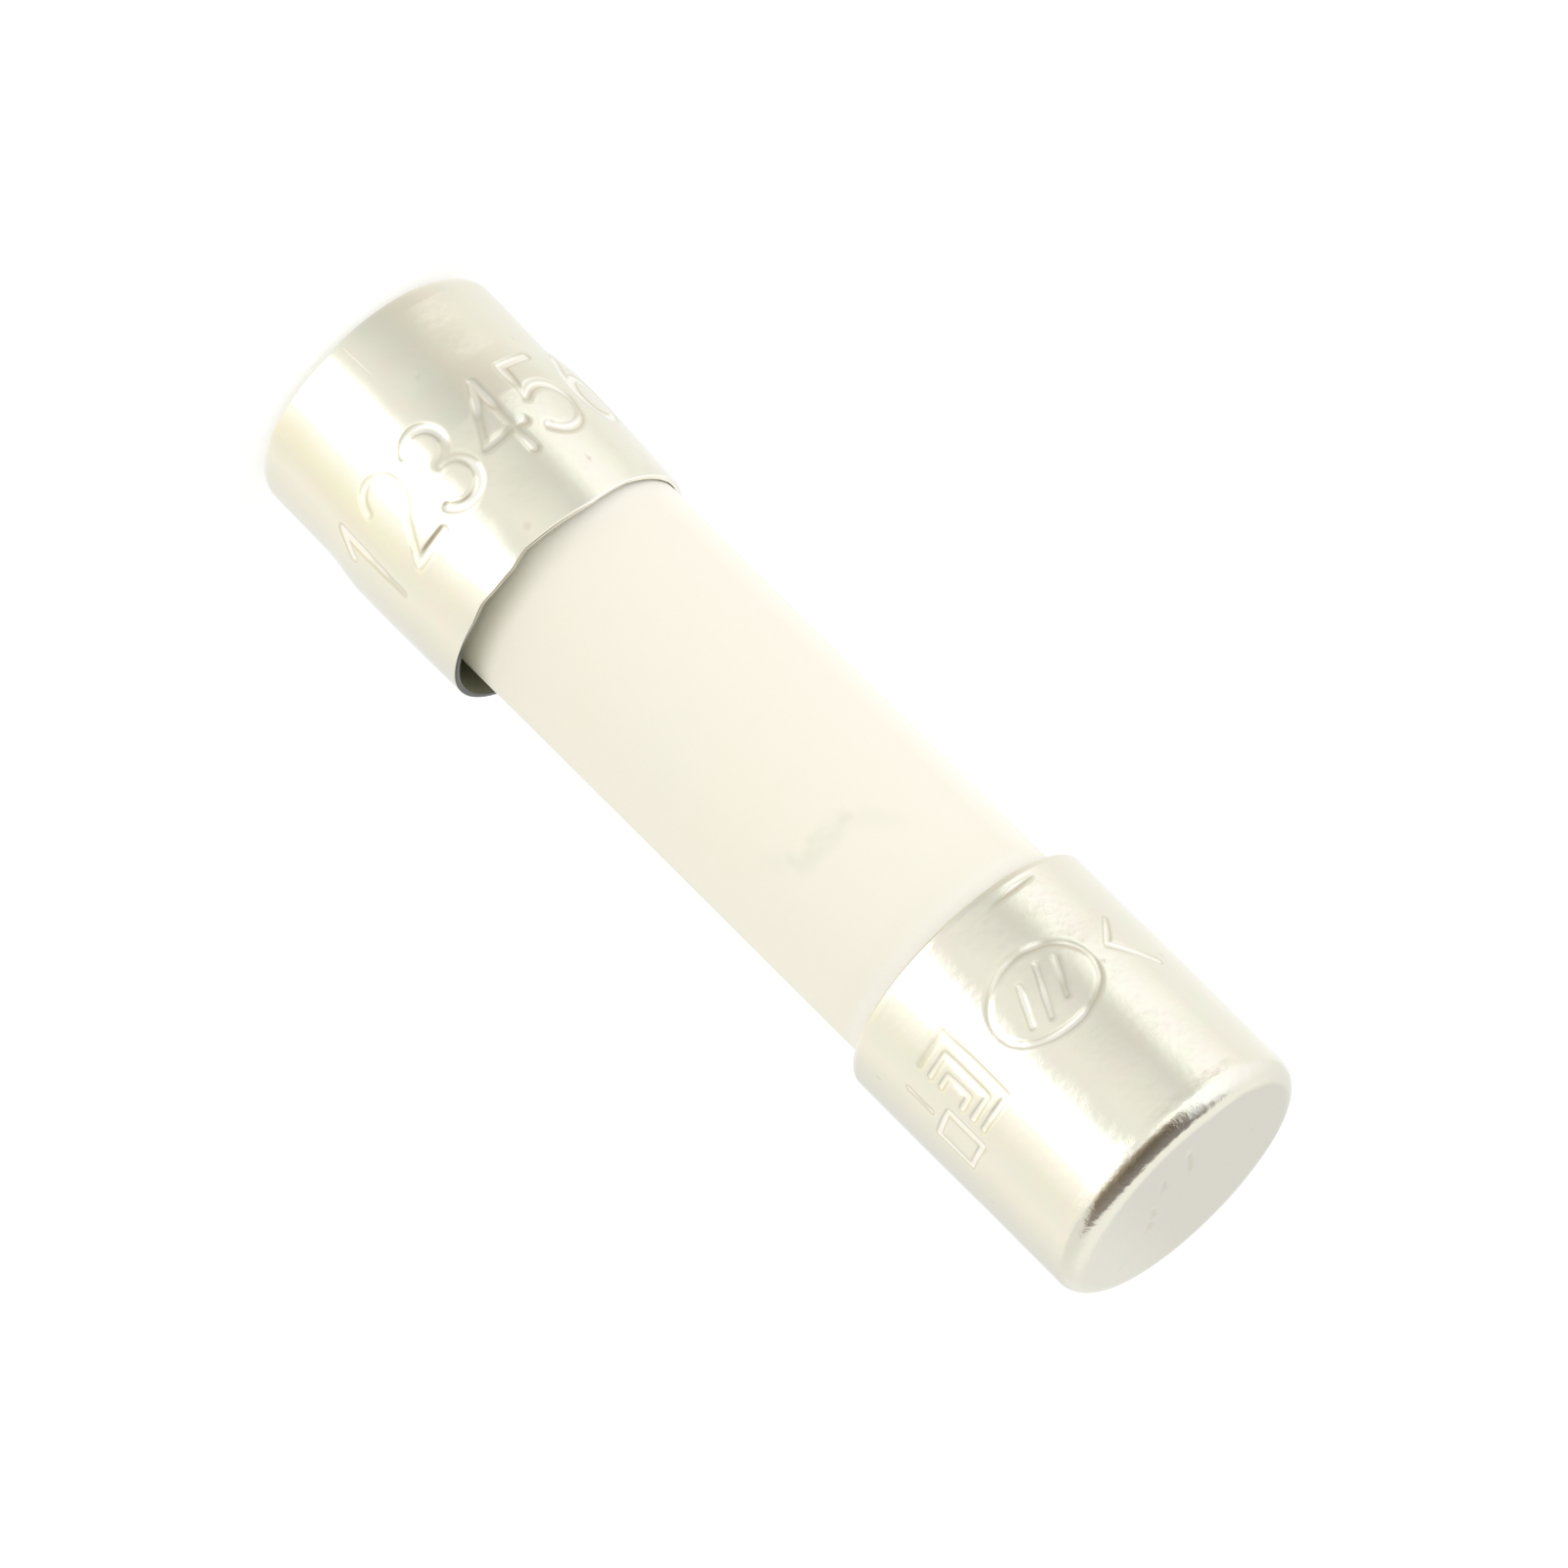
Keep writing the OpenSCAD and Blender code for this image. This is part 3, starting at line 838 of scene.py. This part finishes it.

# %% [markdown]
# The tube is fired steatite or alumina: matt, pale cream, with hardly any grain. Its tone drifts a
# little from warm to cool, and its left side is painted paler and less yellow, a painted light. It
# has faint grey streaks, such as metal leaves where it rubs. Each one is a soft mask on the front
# of the tube, with its edge made ragged by noise.

# %% Ceramic: body and rubbed streaks
CREAM = (0.94, 0.885, 0.735)
CREAM_PAINTED_LIT_LEFT = (0.945, 0.89, 0.785)
CREAM_COOL = (0.925, 0.89, 0.755)
LIT_LEFT_X = (0.4, -1.8)
FRONT_Y = (-1.5, -2.0)
RAGGED = 0.1
FAINT_END = 1.5
LEAST_RUBBED = 0.3
ceramic, tree_c, shader, place = new_finish("ceramic")
drift = use_effect(cloudy_tone, place, Size=2.2, Contrast=1.8, Seed=8.0)
wander = use_effect(cloudy_tone, place, Size=0.3, Contrast=1.8, Seed=4.0)
spot = add_node(tree_c, "ShaderNodeSeparateXYZ", {0: place}).outputs
front = climb(spot["Y"], *FRONT_Y)
# The left side is painted paler and less yellow: a painted light.
lit_left_cream = blend_colours(climb(spot["X"], *LIT_LEFT_X), CREAM, CREAM_PAINTED_LIT_LEFT)
body_colour = blend_colours(drift, lit_left_cream, CREAM_COOL)


def rub(x, z, half_x, half_z, slant, strength):
    """A mask for one soft streak on the front of the tube, slanted by so many mm for each mm of x."""
    along = calculate("SUBTRACT", spot["X"], x)
    line_z = calculate("ADD", calculate("MULTIPLY", along, slant), z)
    across = calculate(
        "ADD", calculate("SUBTRACT", spot["Z"], line_z), between(wander, -RAGGED, RAGGED))
    far_across = calculate("POWER", calculate("DIVIDE", across, half_z), 2.0)
    far_along = calculate("POWER", calculate("DIVIDE", along, half_x), 4.0)
    away = calculate("SQRT", calculate("ADD", far_across, far_along))
    faint = climb(away, 0.0, FAINT_END, 1.0, 0.0, smooth=True)
    worn = between(wander, LEAST_RUBBED * strength, strength)
    return calculate("MULTIPLY", calculate("MULTIPLY", faint, front), worn)


RUBS = [
    (0.26, 12.25, 0.6, 0.22, 0.0, 0.6), (-0.34, 12.22, 0.17, 0.15, 0.0, 0.7),
    (0.66, 12.18, 0.2, 0.2, -0.4, 0.5), (-0.6, 12.5, 0.5, 0.28, -0.85, 0.2),
    (0.9, 11.95, 0.45, 0.3, -0.8, 0.15),
]
rub_mask = 0.0
for streak in RUBS:
    rub_mask = calculate("MAXIMUM", rub_mask, rub(*streak))
print("rubbed streaks:", len(RUBS))

# %% [markdown]
# The tube is painted darker on one side in the corner that the lower cap's mouth makes with it, a
# painted shade. Next to the caps and along its left edge the plain light here leaves more shade
# than the photograph has. The colour is made a little paler there to make up for it, a painted
# light, which isn't a thing on the real tube.

# %% Ceramic: corner, pale places and gloss
CREAM_PALE = (1.0, 0.97, 0.88)
MOUTH_PAINTED_SHADE = (0.58, 0.56, 0.42)
RUBBED = (0.74, 0.745, 0.61)
UNDER_LIP_Z = (14.2, 14.8)
CORNER_Z = (5.2, 5.68)
CORNER_SHARE = 0.85
SHADED_SIDE_X = (-1.2, 1.2)
LEFT_EDGE_X = (-1.9, -2.26)
ROUGH_WARM, ROUGH_COOL = 0.5, 0.62
CERAMIC_RELIEF_M = 0.000003
under_lip = climb(spot["Z"], *UNDER_LIP_Z, smooth=True)
in_corner = climb(spot["Z"], *CORNER_Z, CORNER_SHARE, 0.0, smooth=True)
shaded_side = climb(spot["X"], *SHADED_SIDE_X)
painted_lit_corner = calculate("MULTIPLY", in_corner, calculate("SUBTRACT", 1.0, shaded_side))
pale_edges = calculate("MAXIMUM", under_lip, climb(spot["X"], *LEFT_EDGE_X))
pale_places = calculate("MAXIMUM", pale_edges, painted_lit_corner)
body_colour = blend_colours(pale_places, body_colour, CREAM_PALE)
# One side of the mouth's corner is painted darker: a painted shade.
body_colour = blend_colours(calculate("MULTIPLY", in_corner, shaded_side), body_colour, MOUTH_PAINTED_SHADE)
link(blend_colours(rub_mask, body_colour, RUBBED), shader.inputs["Base Color"])
link(between(drift, ROUGH_WARM, ROUGH_COOL), shader.inputs["Roughness"])
bumped(shader, use_effect(fine_grain, place, Size=0.06, Seed=2.0), CERAMIC_RELIEF_M)
print("made", ceramic.name)

# %% [markdown]
# The pieces inside don't show while the fuse is whole, but they have finishes of their own: dull
# grey solder, bright drawn copper wire and packed quartz sand.


# %% Solder, wire and sand
def inner_finish(shader, metallic, tones, tone_mask, roughness, rough_mask):
    """Two tones and two roughnesses, each pair blended through its own mask."""
    shader.inputs["Metallic"].default_value = metallic
    link(blend_colours(tone_mask, *tones), shader.inputs["Base Color"])
    link(between(rough_mask, *roughness), shader.inputs["Roughness"])


SOLDER_TONES = ((0.56, 0.57, 0.58), (0.42, 0.43, 0.45))
COPPER_TONES = ((0.86, 0.52, 0.36), (0.62, 0.33, 0.2))
SAND_TONES = ((0.82, 0.78, 0.7), (0.6, 0.55, 0.46))
SOLDER_RELIEF_M, SAND_RELIEF_M = 0.00001, 0.00005

solder, tree_s, shader, place = new_finish("solder")
frost = use_effect(cloudy_tone, place, Size=0.5, Contrast=2.0, Seed=6.0)
inner_finish(shader, 1.0, SOLDER_TONES, frost, (0.3, 0.5), frost)
bumped(shader, use_effect(fine_grain, place, Size=0.2, Seed=9.0), SOLDER_RELIEF_M)

copper, tree_w, shader, place = new_finish("wire")
tarnish = use_effect(cloudy_tone, place, Size=0.6, Contrast=1.5, Seed=12.0)
drawn = use_effect(fine_scratches, place, Spacing=0.04, Stretch=30.0, Amount=1.0, Seed=1.0)
inner_finish(shader, 1.0, COPPER_TONES, tarnish, (0.22, 0.4), drawn)

sand, tree_q, shader, place = new_finish("sand")
pale = use_effect(cloudy_tone, place, Size=0.15, Contrast=2.5, Seed=14.0)
inner_finish(shader, 0.0, SAND_TONES, pale, (0.35, 0.8), pale)
bumped(shader, use_effect(fine_grain, place, Size=0.12, Seed=13.0), SAND_RELIEF_M)
print("finishes:", ", ".join(m.name for m in (nickel_plate, ceramic, solder, copper, sand)))

# %% [markdown]
# ## Make the pieces
# Each piece is an empty mesh with the tree as its modifier. The inputs are set by the identifiers
# of their sockets, before Blender first works the tree out. The result is then kept as a plain
# mesh and the modifier taken off, so nothing is left that could change it later.


# %% Piece maker
def turned_piece(name, **values):
    made = bpy.data.objects.new(name, bpy.data.meshes.new(name))
    scene.collection.objects.link(made)
    modifier = made.modifiers.new("turned_piece", "NODES")
    modifier.node_group = tree
    items = tree.interface.items_tree
    identifiers = {item.name: item.identifier for item in items if item.in_out == "INPUT"}
    for title, value in values.items():
        modifier[identifiers[title.replace("_", " ")]] = value
    bpy.context.view_layer.update()
    evaluated = made.evaluated_get(bpy.context.evaluated_depsgraph_get())
    plain = bpy.data.meshes.new_from_object(evaluated)
    made.modifiers.remove(modifier)
    made.data = plain
    plain.name = name
    print(name, "has", sum(len(p.vertices) - 2 for p in plain.polygons), "triangles")
    return made


# %% [markdown]
# The lean is the same move as in the CAD model: the cap tips about its foot towards one side,
# until the inner edge of its mouth rests on the tube.

# %% Lower cap
heading = Matrix.Rotation(LEAN_HEADING, 3, "Z")
lean_turn = heading @ Matrix.Rotation(lean, 3, "Y") @ heading.inverted()
lean_place = heading @ Vector((LOWER_SHIFT, 0.0, lift)) * MM
lower_cap = turned_piece(
    "drawn_lower_cap", Profile=lower_profile, Segments=560, Marks=lower_marks, Finish=nickel_plate,
    Groove_Width=0.30 * MM, Groove_Depth=0.03 * MM, Unevenness=0.034 * MM, Wave_Length=1.8 * MM,
    Seed=4.0, Mouth_Dip=0.14 * MM, Place=tuple(lean_place), Lean=tuple(lean_turn.to_euler()),
)

# %% [markdown]
# The upper cap and the tube stand straight on the axis and have no dips, and the tube has no
# marks pressed in, so its groove has no depth.

# %% Upper cap
UPRIGHT = {"Mouth_Dip": 0.0, "Place": (0.0, 0.0, 0.0), "Lean": (0.0, 0.0, 0.0)}
upper_cap = turned_piece(
    "drawn_upper_cap", Profile=upper_profile, Segments=510, Marks=upper_marks, Finish=nickel_plate,
    Groove_Width=0.21 * MM, Groove_Depth=0.02 * MM, Unevenness=0.02 * MM, Wave_Length=1.6 * MM,
    Seed=9.0, **UPRIGHT,
)

# %% Tube
tube = turned_piece(
    "fired_tube", Profile=tube_profile, Segments=360, Marks=upper_marks, Finish=ceramic,
    Groove_Width=0.1 * MM, Groove_Depth=0.0, Unevenness=0.008 * MM, Wave_Length=3.0 * MM,
    Seed=2.0, **UPRIGHT,
)
for helper in (lower_profile, upper_profile, tube_profile, lower_marks, upper_marks):
    bpy.data.objects.remove(helper)
print("helper meshes removed")

# %% [markdown]
# ## Tie the pieces to the frame
# Each new piece rides on the body of the CAD model, and the node it replaces is hidden. The nodes
# inside stay as they are and only get a finish.

# %% Tie the pieces to the frame
for piece, node, finish in (
    (lower_cap, "lower_cap", "nickel_plate"),
    (upper_cap, "upper_cap", "nickel_plate"),
    (tube, "ceramic_tube", "ceramic"),
):
    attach(piece, "root")
    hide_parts(node)
INNER = {"lower_solder": solder, "upper_solder": solder, "fuse_wire": copper, "quartz_sand": sand}
for node, finish in INNER.items():
    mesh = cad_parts[node].data
    mesh.materials.clear()
    mesh.materials.append(finish)

# %% [markdown]
# ## Floor
# The fuse stands on a plain pale floor. For the camera, a little of the floor's own light lifts
# it to white, and the rest is light that falls on it, so the shadow at the foot of the fuse stays.

# %% Floor
FLOOR_HALF = 6.0
PAPER, PAPER_SEEN = (0.86, 0.86, 0.86), (0.62, 0.62, 0.62)
PAPER_GLOW = 0.5
WHITE = (1.0, 1.0, 1.0, 1.0)
floor_mesh = bpy.data.meshes.new("floor")
corners = [(FLOOR_HALF * x, FLOOR_HALF * y, 0.0) for x, y in ((-1, -1), (1, -1), (1, 1), (-1, 1))]
floor_mesh.from_pydata(corners, [], [(0, 1, 2, 3)])
floor = bpy.data.objects.new("floor", floor_mesh)
scene.collection.objects.link(floor)
floor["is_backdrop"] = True
paper = bpy.data.materials.new("white_paper")
paper.use_nodes = True
tree_f = paper.node_tree
tree_f.nodes.clear()
seen = add_node(tree_f, "ShaderNodeLightPath").outputs["Is Camera Ray"]
matt = add_node(tree_f, "ShaderNodeBsdfDiffuse", {"Color": blend_colours(seen, PAPER, PAPER_SEEN)})
glow = add_node(tree_f, "ShaderNodeEmission", {
    "Color": WHITE, "Strength": calculate("MULTIPLY", seen, PAPER_GLOW)})
both = add_node(tree_f, "ShaderNodeAddShader", {0: matt.outputs[0], 1: glow.outputs[0]})
link(both.outputs[0], add_node(tree_f, "ShaderNodeOutputMaterial").inputs["Surface"])
floor_mesh.materials.append(paper)
floor.visible_glossy = False
print("floor is", 2 * FLOOR_HALF, "m wide")

# %% [markdown]
# ## Studio round the fuse
# Bright metal shows the room. Nobody knows the room of the photograph, but its reflections look as
# if there were white and cream card all round, a brighter white panel in front on one side, and
# something dark over the camera. Cards could be modelled one by one. The world does the same with
# less: for rays that come off something glossy, it gives the tone that stands in that direction.
# The low and the middle tones, and some of the others, were first worked out from the photograph:
# the light that a spot of a cap sends, divided by the colour of nickel, is the tone of the
# direction that this spot mirrors. All of them were then shifted by comparing renders with the
# photograph. So they carry its light, as a plain studio would not, and fit its viewpoint best. The
# camera sees plain white, and matt things get one plain level of light from all round.

# %% Tones of the studio
AMBIENT = 1.0
BRIGHTEST = 2.0
LOW_TONES = [
    (-180, 1.0), (-140, 1.08), (-119, 1.1), (-90, (1.02, 0.99, 0.95)), (-72, (0.92, 0.88, 0.85)),
    (-58, (0.87, 0.84, 0.80)), (-48, (0.83, 0.815, 0.78)), (-38, 0.825), (-27, 0.88), (-9, 1.02),
    (-1, 1.08), (4, 1.2), (10, 2.0), (49, 2.0), (57, 1.4), (67, (1.27, 1.25, 1.18)),
    (78, (1.2, 1.16, 1.01)), (90, (1.12, 1.09, 1.02)), (106, (1.16, 1.14, 1.12)), (140, 1.01),
    (166, 0.93), (180, 0.95),
]
MIDDLE_TONES = [
    (-180, 1.05), (-158, 1.12), (-112, 1.11), (-98, 1.24), (-86, (1.33, 1.32, 1.39)),
    (-70, (1.38, 1.39, 1.42)), (-60.5, (1.05, 1.08, 1.07)), (-56.5, 0.93), (-49, 0.87), (-40, 0.95),
    (-26, (1.04, 1.04, 1.01)), (-9, (1.11, 1.1, 1.08)), (6, 1.02), (13, (1.05, 1.06, 1.1)),
    (18, 2.0), (43, 2.0), (52, (1.3, 1.29, 1.24)), (64, (1.2, 1.17, 1.15)), (74, (1.09, 1.07, 1.03)),
    (88, 1.1), (105, (1.14, 1.12, 1.09)), (130, 0.99), (158, 0.87), (180, 1.0),
]
HIGH_TONES = [
    (-180, 0.93), (-155, 0.98), (-138, 1.04), (-104, (1.2, 1.2, 1.28)), (-64, (1.4, 1.42, 1.55)),
    (-30, 1.4), (0, 1.1), (30, 1.15), (46, (1.12, 1.09, 0.95)), (60, 1.0), (80, 0.92), (120, 0.95),
    (155, 1.0), (172, 0.94), (180, 0.93),
]
LOW_TO_MIDDLE = (-19.1, -17.4)
MIDDLE_TO_HIGH = (-7.0, -2.0)
BEHIND_TOP_TONE = 1.1
BEHIND_TOP_PITCH = (96.0, 106.0, 140.0, 160.0)
BEHIND_TOP_SIDE = (-0.7, -0.4, 0.5, 0.85)
UNDERSIDE_MOST = 1.12
UNDERSIDE_TILT = (-50.0, -38.0)
rings = (("low", LOW_TONES), ("middle", MIDDLE_TONES), ("high", HIGH_TONES))
print("tones round the fuse:", ", ".join("%d %s" % (len(tones), title) for title, tones in rings))

# %% [markdown]
# The dark card reaches from the height of the camera to just past straight up. It is tilted, bent
# on the left, and catches some light on the right.

# %% Dark card
DARK_CARD_PITCH = (3.0, 19.0, 93.0, 106.0)
DARK_CARD_TILT = 5.0
DARK_CARD_BEND = 5.0
DARK_CARD_BEND_SIDE = (0.05, -0.15)
DARK_CARD_SIDE = (-0.75, -0.32, 0.8, 0.94)
DARK_CARD_TONES = [
    (8, (0.6, 0.54, 0.47)), (26, (0.34, 0.29, 0.23)), (42, (0.165, 0.13, 0.10)),
    (62, (0.20, 0.17, 0.15)), (84, (0.27, 0.25, 0.25)),
]
CARD_LIT_TONE = (0.62, 0.52, 0.42)
CARD_LIT_SIDE = (0.25, 0.55)
CARD_LIT_SHARE = 0.17
print("tones of the dark card:", len(DARK_CARD_TONES))


# %% World helpers
def angle_of(upright, level_side):
    """The angle in degrees of the corner between these two sides."""
    return calculate("DEGREES", calculate("ARCTAN2", upright, level_side))


def stretch_of(value, rises, risen, falls, fallen):
    """A mask that rises, stays full from risen to falls, and falls again."""
    past = climb(value, falls, fallen, smooth=True)
    return calculate("MULTIPLY", climb(value, rises, risen, smooth=True), calculate("SUBTRACT", 1.0, past))


def tones_round(tones, turn):
    """A colour ramp over an angle in degrees, in shares of the brightest tone."""
    share = calculate("ADD", calculate("DIVIDE", turn, 360.0), 0.5)
    ramp = add_node(sky, "ShaderNodeValToRGB", {0: share})
    stops = ramp.color_ramp.elements
    while len(stops) > 1:
        stops.remove(stops[-1])
    for k, (degrees, tone) in enumerate(tones):
        stop = stops[0] if k == 0 else stops.new(0.5 + degrees / 360)
        stop.position = 0.5 + degrees / 360
        parts = tone if isinstance(tone, tuple) else (tone,) * 3
        stop.color = [part / BRIGHTEST for part in parts] + [1.0]
    return ramp.outputs[0]


# %% Where a ray goes
world = bpy.data.worlds.new("studio")
scene.world = world
world.use_nodes = True
sky = world.node_tree
sky.nodes.clear()
direction = add_node(sky, "ShaderNodeTexCoord").outputs["Generated"]
heading_to = add_node(sky, "ShaderNodeSeparateXYZ", {0: direction}).outputs
forward = calculate("MULTIPLY", heading_to["Y"], -1.0)
azimuth = angle_of(heading_to["X"], forward)
elevation = calculate("DEGREES", calculate("ARCSINE", heading_to["Z"]))
pitch = angle_of(heading_to["Z"], forward)
print("world nodes so far:", len(sky.nodes))

# %% [markdown]
# The rings of tones lie one above the other. A round wall that shows the direction of a ray faces
# halfway between that direction and the front, so twice its own turn is read from the low ring,
# and the edge round a cap's end then carries on the tones of the wall. The front is a fixed
# direction, the one that the photograph was taken from. A wall that faces steeply down shows
# nothing as bright as the white panel.

# %% Rings of tones
FRONT_ABOVE_LEVEL = math.radians(16.6)
halfway_out = calculate("ADD", forward, math.cos(FRONT_ABOVE_LEVEL))
halfway_up = calculate("ADD", heading_to["Z"], math.sin(FRONT_ABOVE_LEVEL))
low_way = calculate("MULTIPLY", angle_of(heading_to["X"], halfway_out), 2.0)
halfway_level = add_node(sky, "ShaderNodeCombineXYZ", {"X": heading_to["X"], "Y": halfway_out})
level_reach = add_node(sky, "ShaderNodeVectorMath", {0: halfway_level.outputs[0]}, operation="LENGTH")
wall_tilt = angle_of(halfway_up, level_reach.outputs["Value"])
past_low = climb(elevation, *LOW_TO_MIDDLE, smooth=True)
past_middle = climb(elevation, *MIDDLE_TO_HIGH, smooth=True)
middle = blend_colours(past_low, tones_round(LOW_TONES, low_way), tones_round(MIDDLE_TONES, azimuth))
raised = blend_colours(past_middle, middle, tones_round(HIGH_TONES, azimuth))
behind_top = calculate(
    "MULTIPLY", stretch_of(pitch, *BEHIND_TOP_PITCH), stretch_of(heading_to["X"], *BEHIND_TOP_SIDE))
with_top = blend_colours(behind_top, raised, (BEHIND_TOP_TONE / BRIGHTEST,) * 3)
underside = calculate("SUBTRACT", 1.0, climb(wall_tilt, *UNDERSIDE_TILT, smooth=True))
no_panel = add_node(sky, "ShaderNodeMix", {
    0: underside, 6: with_top, 7: (UNDERSIDE_MOST / BRIGHTEST,) * 3 + (1.0,),
}, data_type="RGBA", blend_type="DARKEN").outputs[2]
print("world nodes so far:", len(sky.nodes))

# %% [markdown]
# The card is laid over the rings. Then three backgrounds are mixed by the kind of ray: the tones
# for gloss, plain white for matt things, and plain white for the camera and for anything clear.

# %% Card and backgrounds
card_lit = climb(heading_to["X"], *CARD_LIT_SIDE, 0.0, CARD_LIT_SHARE)
lit_tone = tuple(part / BRIGHTEST for part in CARD_LIT_TONE)
card_colour = blend_colours(card_lit, tones_round(DARK_CARD_TONES, pitch), lit_tone)
bend = climb(heading_to["X"], *DARK_CARD_BEND_SIDE, 0.0, DARK_CARD_BEND)
tilted = calculate("ADD", pitch, calculate("MULTIPLY", heading_to["X"], DARK_CARD_TILT))
card_pitch = calculate("SUBTRACT", tilted, bend)
on_card = calculate(
    "MULTIPLY", stretch_of(card_pitch, *DARK_CARD_PITCH), stretch_of(heading_to["X"], *DARK_CARD_SIDE))
whole = blend_colours(on_card, no_panel, card_colour)
for_gloss = add_node(sky, "ShaderNodeBackground", {"Color": whole, "Strength": BRIGHTEST})
for_matt = add_node(sky, "ShaderNodeBackground", {"Color": WHITE, "Strength": AMBIENT})
for_camera = add_node(sky, "ShaderNodeBackground", {"Color": WHITE, "Strength": 1.0})
path = add_node(sky, "ShaderNodeLightPath").outputs
first = add_node(sky, "ShaderNodeMixShader", {
    0: path["Is Glossy Ray"], 1: for_matt.outputs[0], 2: for_gloss.outputs[0]})
seen_directly = calculate("MAXIMUM", path["Is Camera Ray"], path["Is Transmission Ray"])
second = add_node(sky, "ShaderNodeMixShader", {
    0: seen_directly, 1: first.outputs[0], 2: for_camera.outputs[0]})
link(second.outputs[0], add_node(sky, "ShaderNodeOutputWorld").inputs["Surface"])
print("world nodes:", len(sky.nodes))

# %% [markdown]
# One large soft lamp from the upper left gives the tube its slight fall of light from one side
# to the other. It is left out of reflections, which the world above already gives.

# %% Soft lamp
LAMP_AT = Vector((-0.5, -0.35, 0.45))
LAMP_SIZE = 0.5
LAMP_POWER = 0.75
lamp_data = bpy.data.lights.new("soft_lamp", "AREA")
lamp_data.shape = "SQUARE"
lamp_data.size = LAMP_SIZE
lamp_data.energy = LAMP_POWER
lamp = bpy.data.objects.new("soft_lamp", lamp_data)
scene.collection.objects.link(lamp)
lamp.location = LAMP_AT
lamp.rotation_mode = "QUATERNION"
lamp.rotation_quaternion = (LAMP_AT - TARGET * MM).to_track_quat("Z", "Y")
lamp.visible_glossy = False
lamp.visible_camera = False
print("lamp is %.2f m away" % (LAMP_AT - TARGET * MM).length)

# %% Print the visual box
low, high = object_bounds()
print("visual box in mm:", [round(v / MM, 3) for v in (*low, *high)])
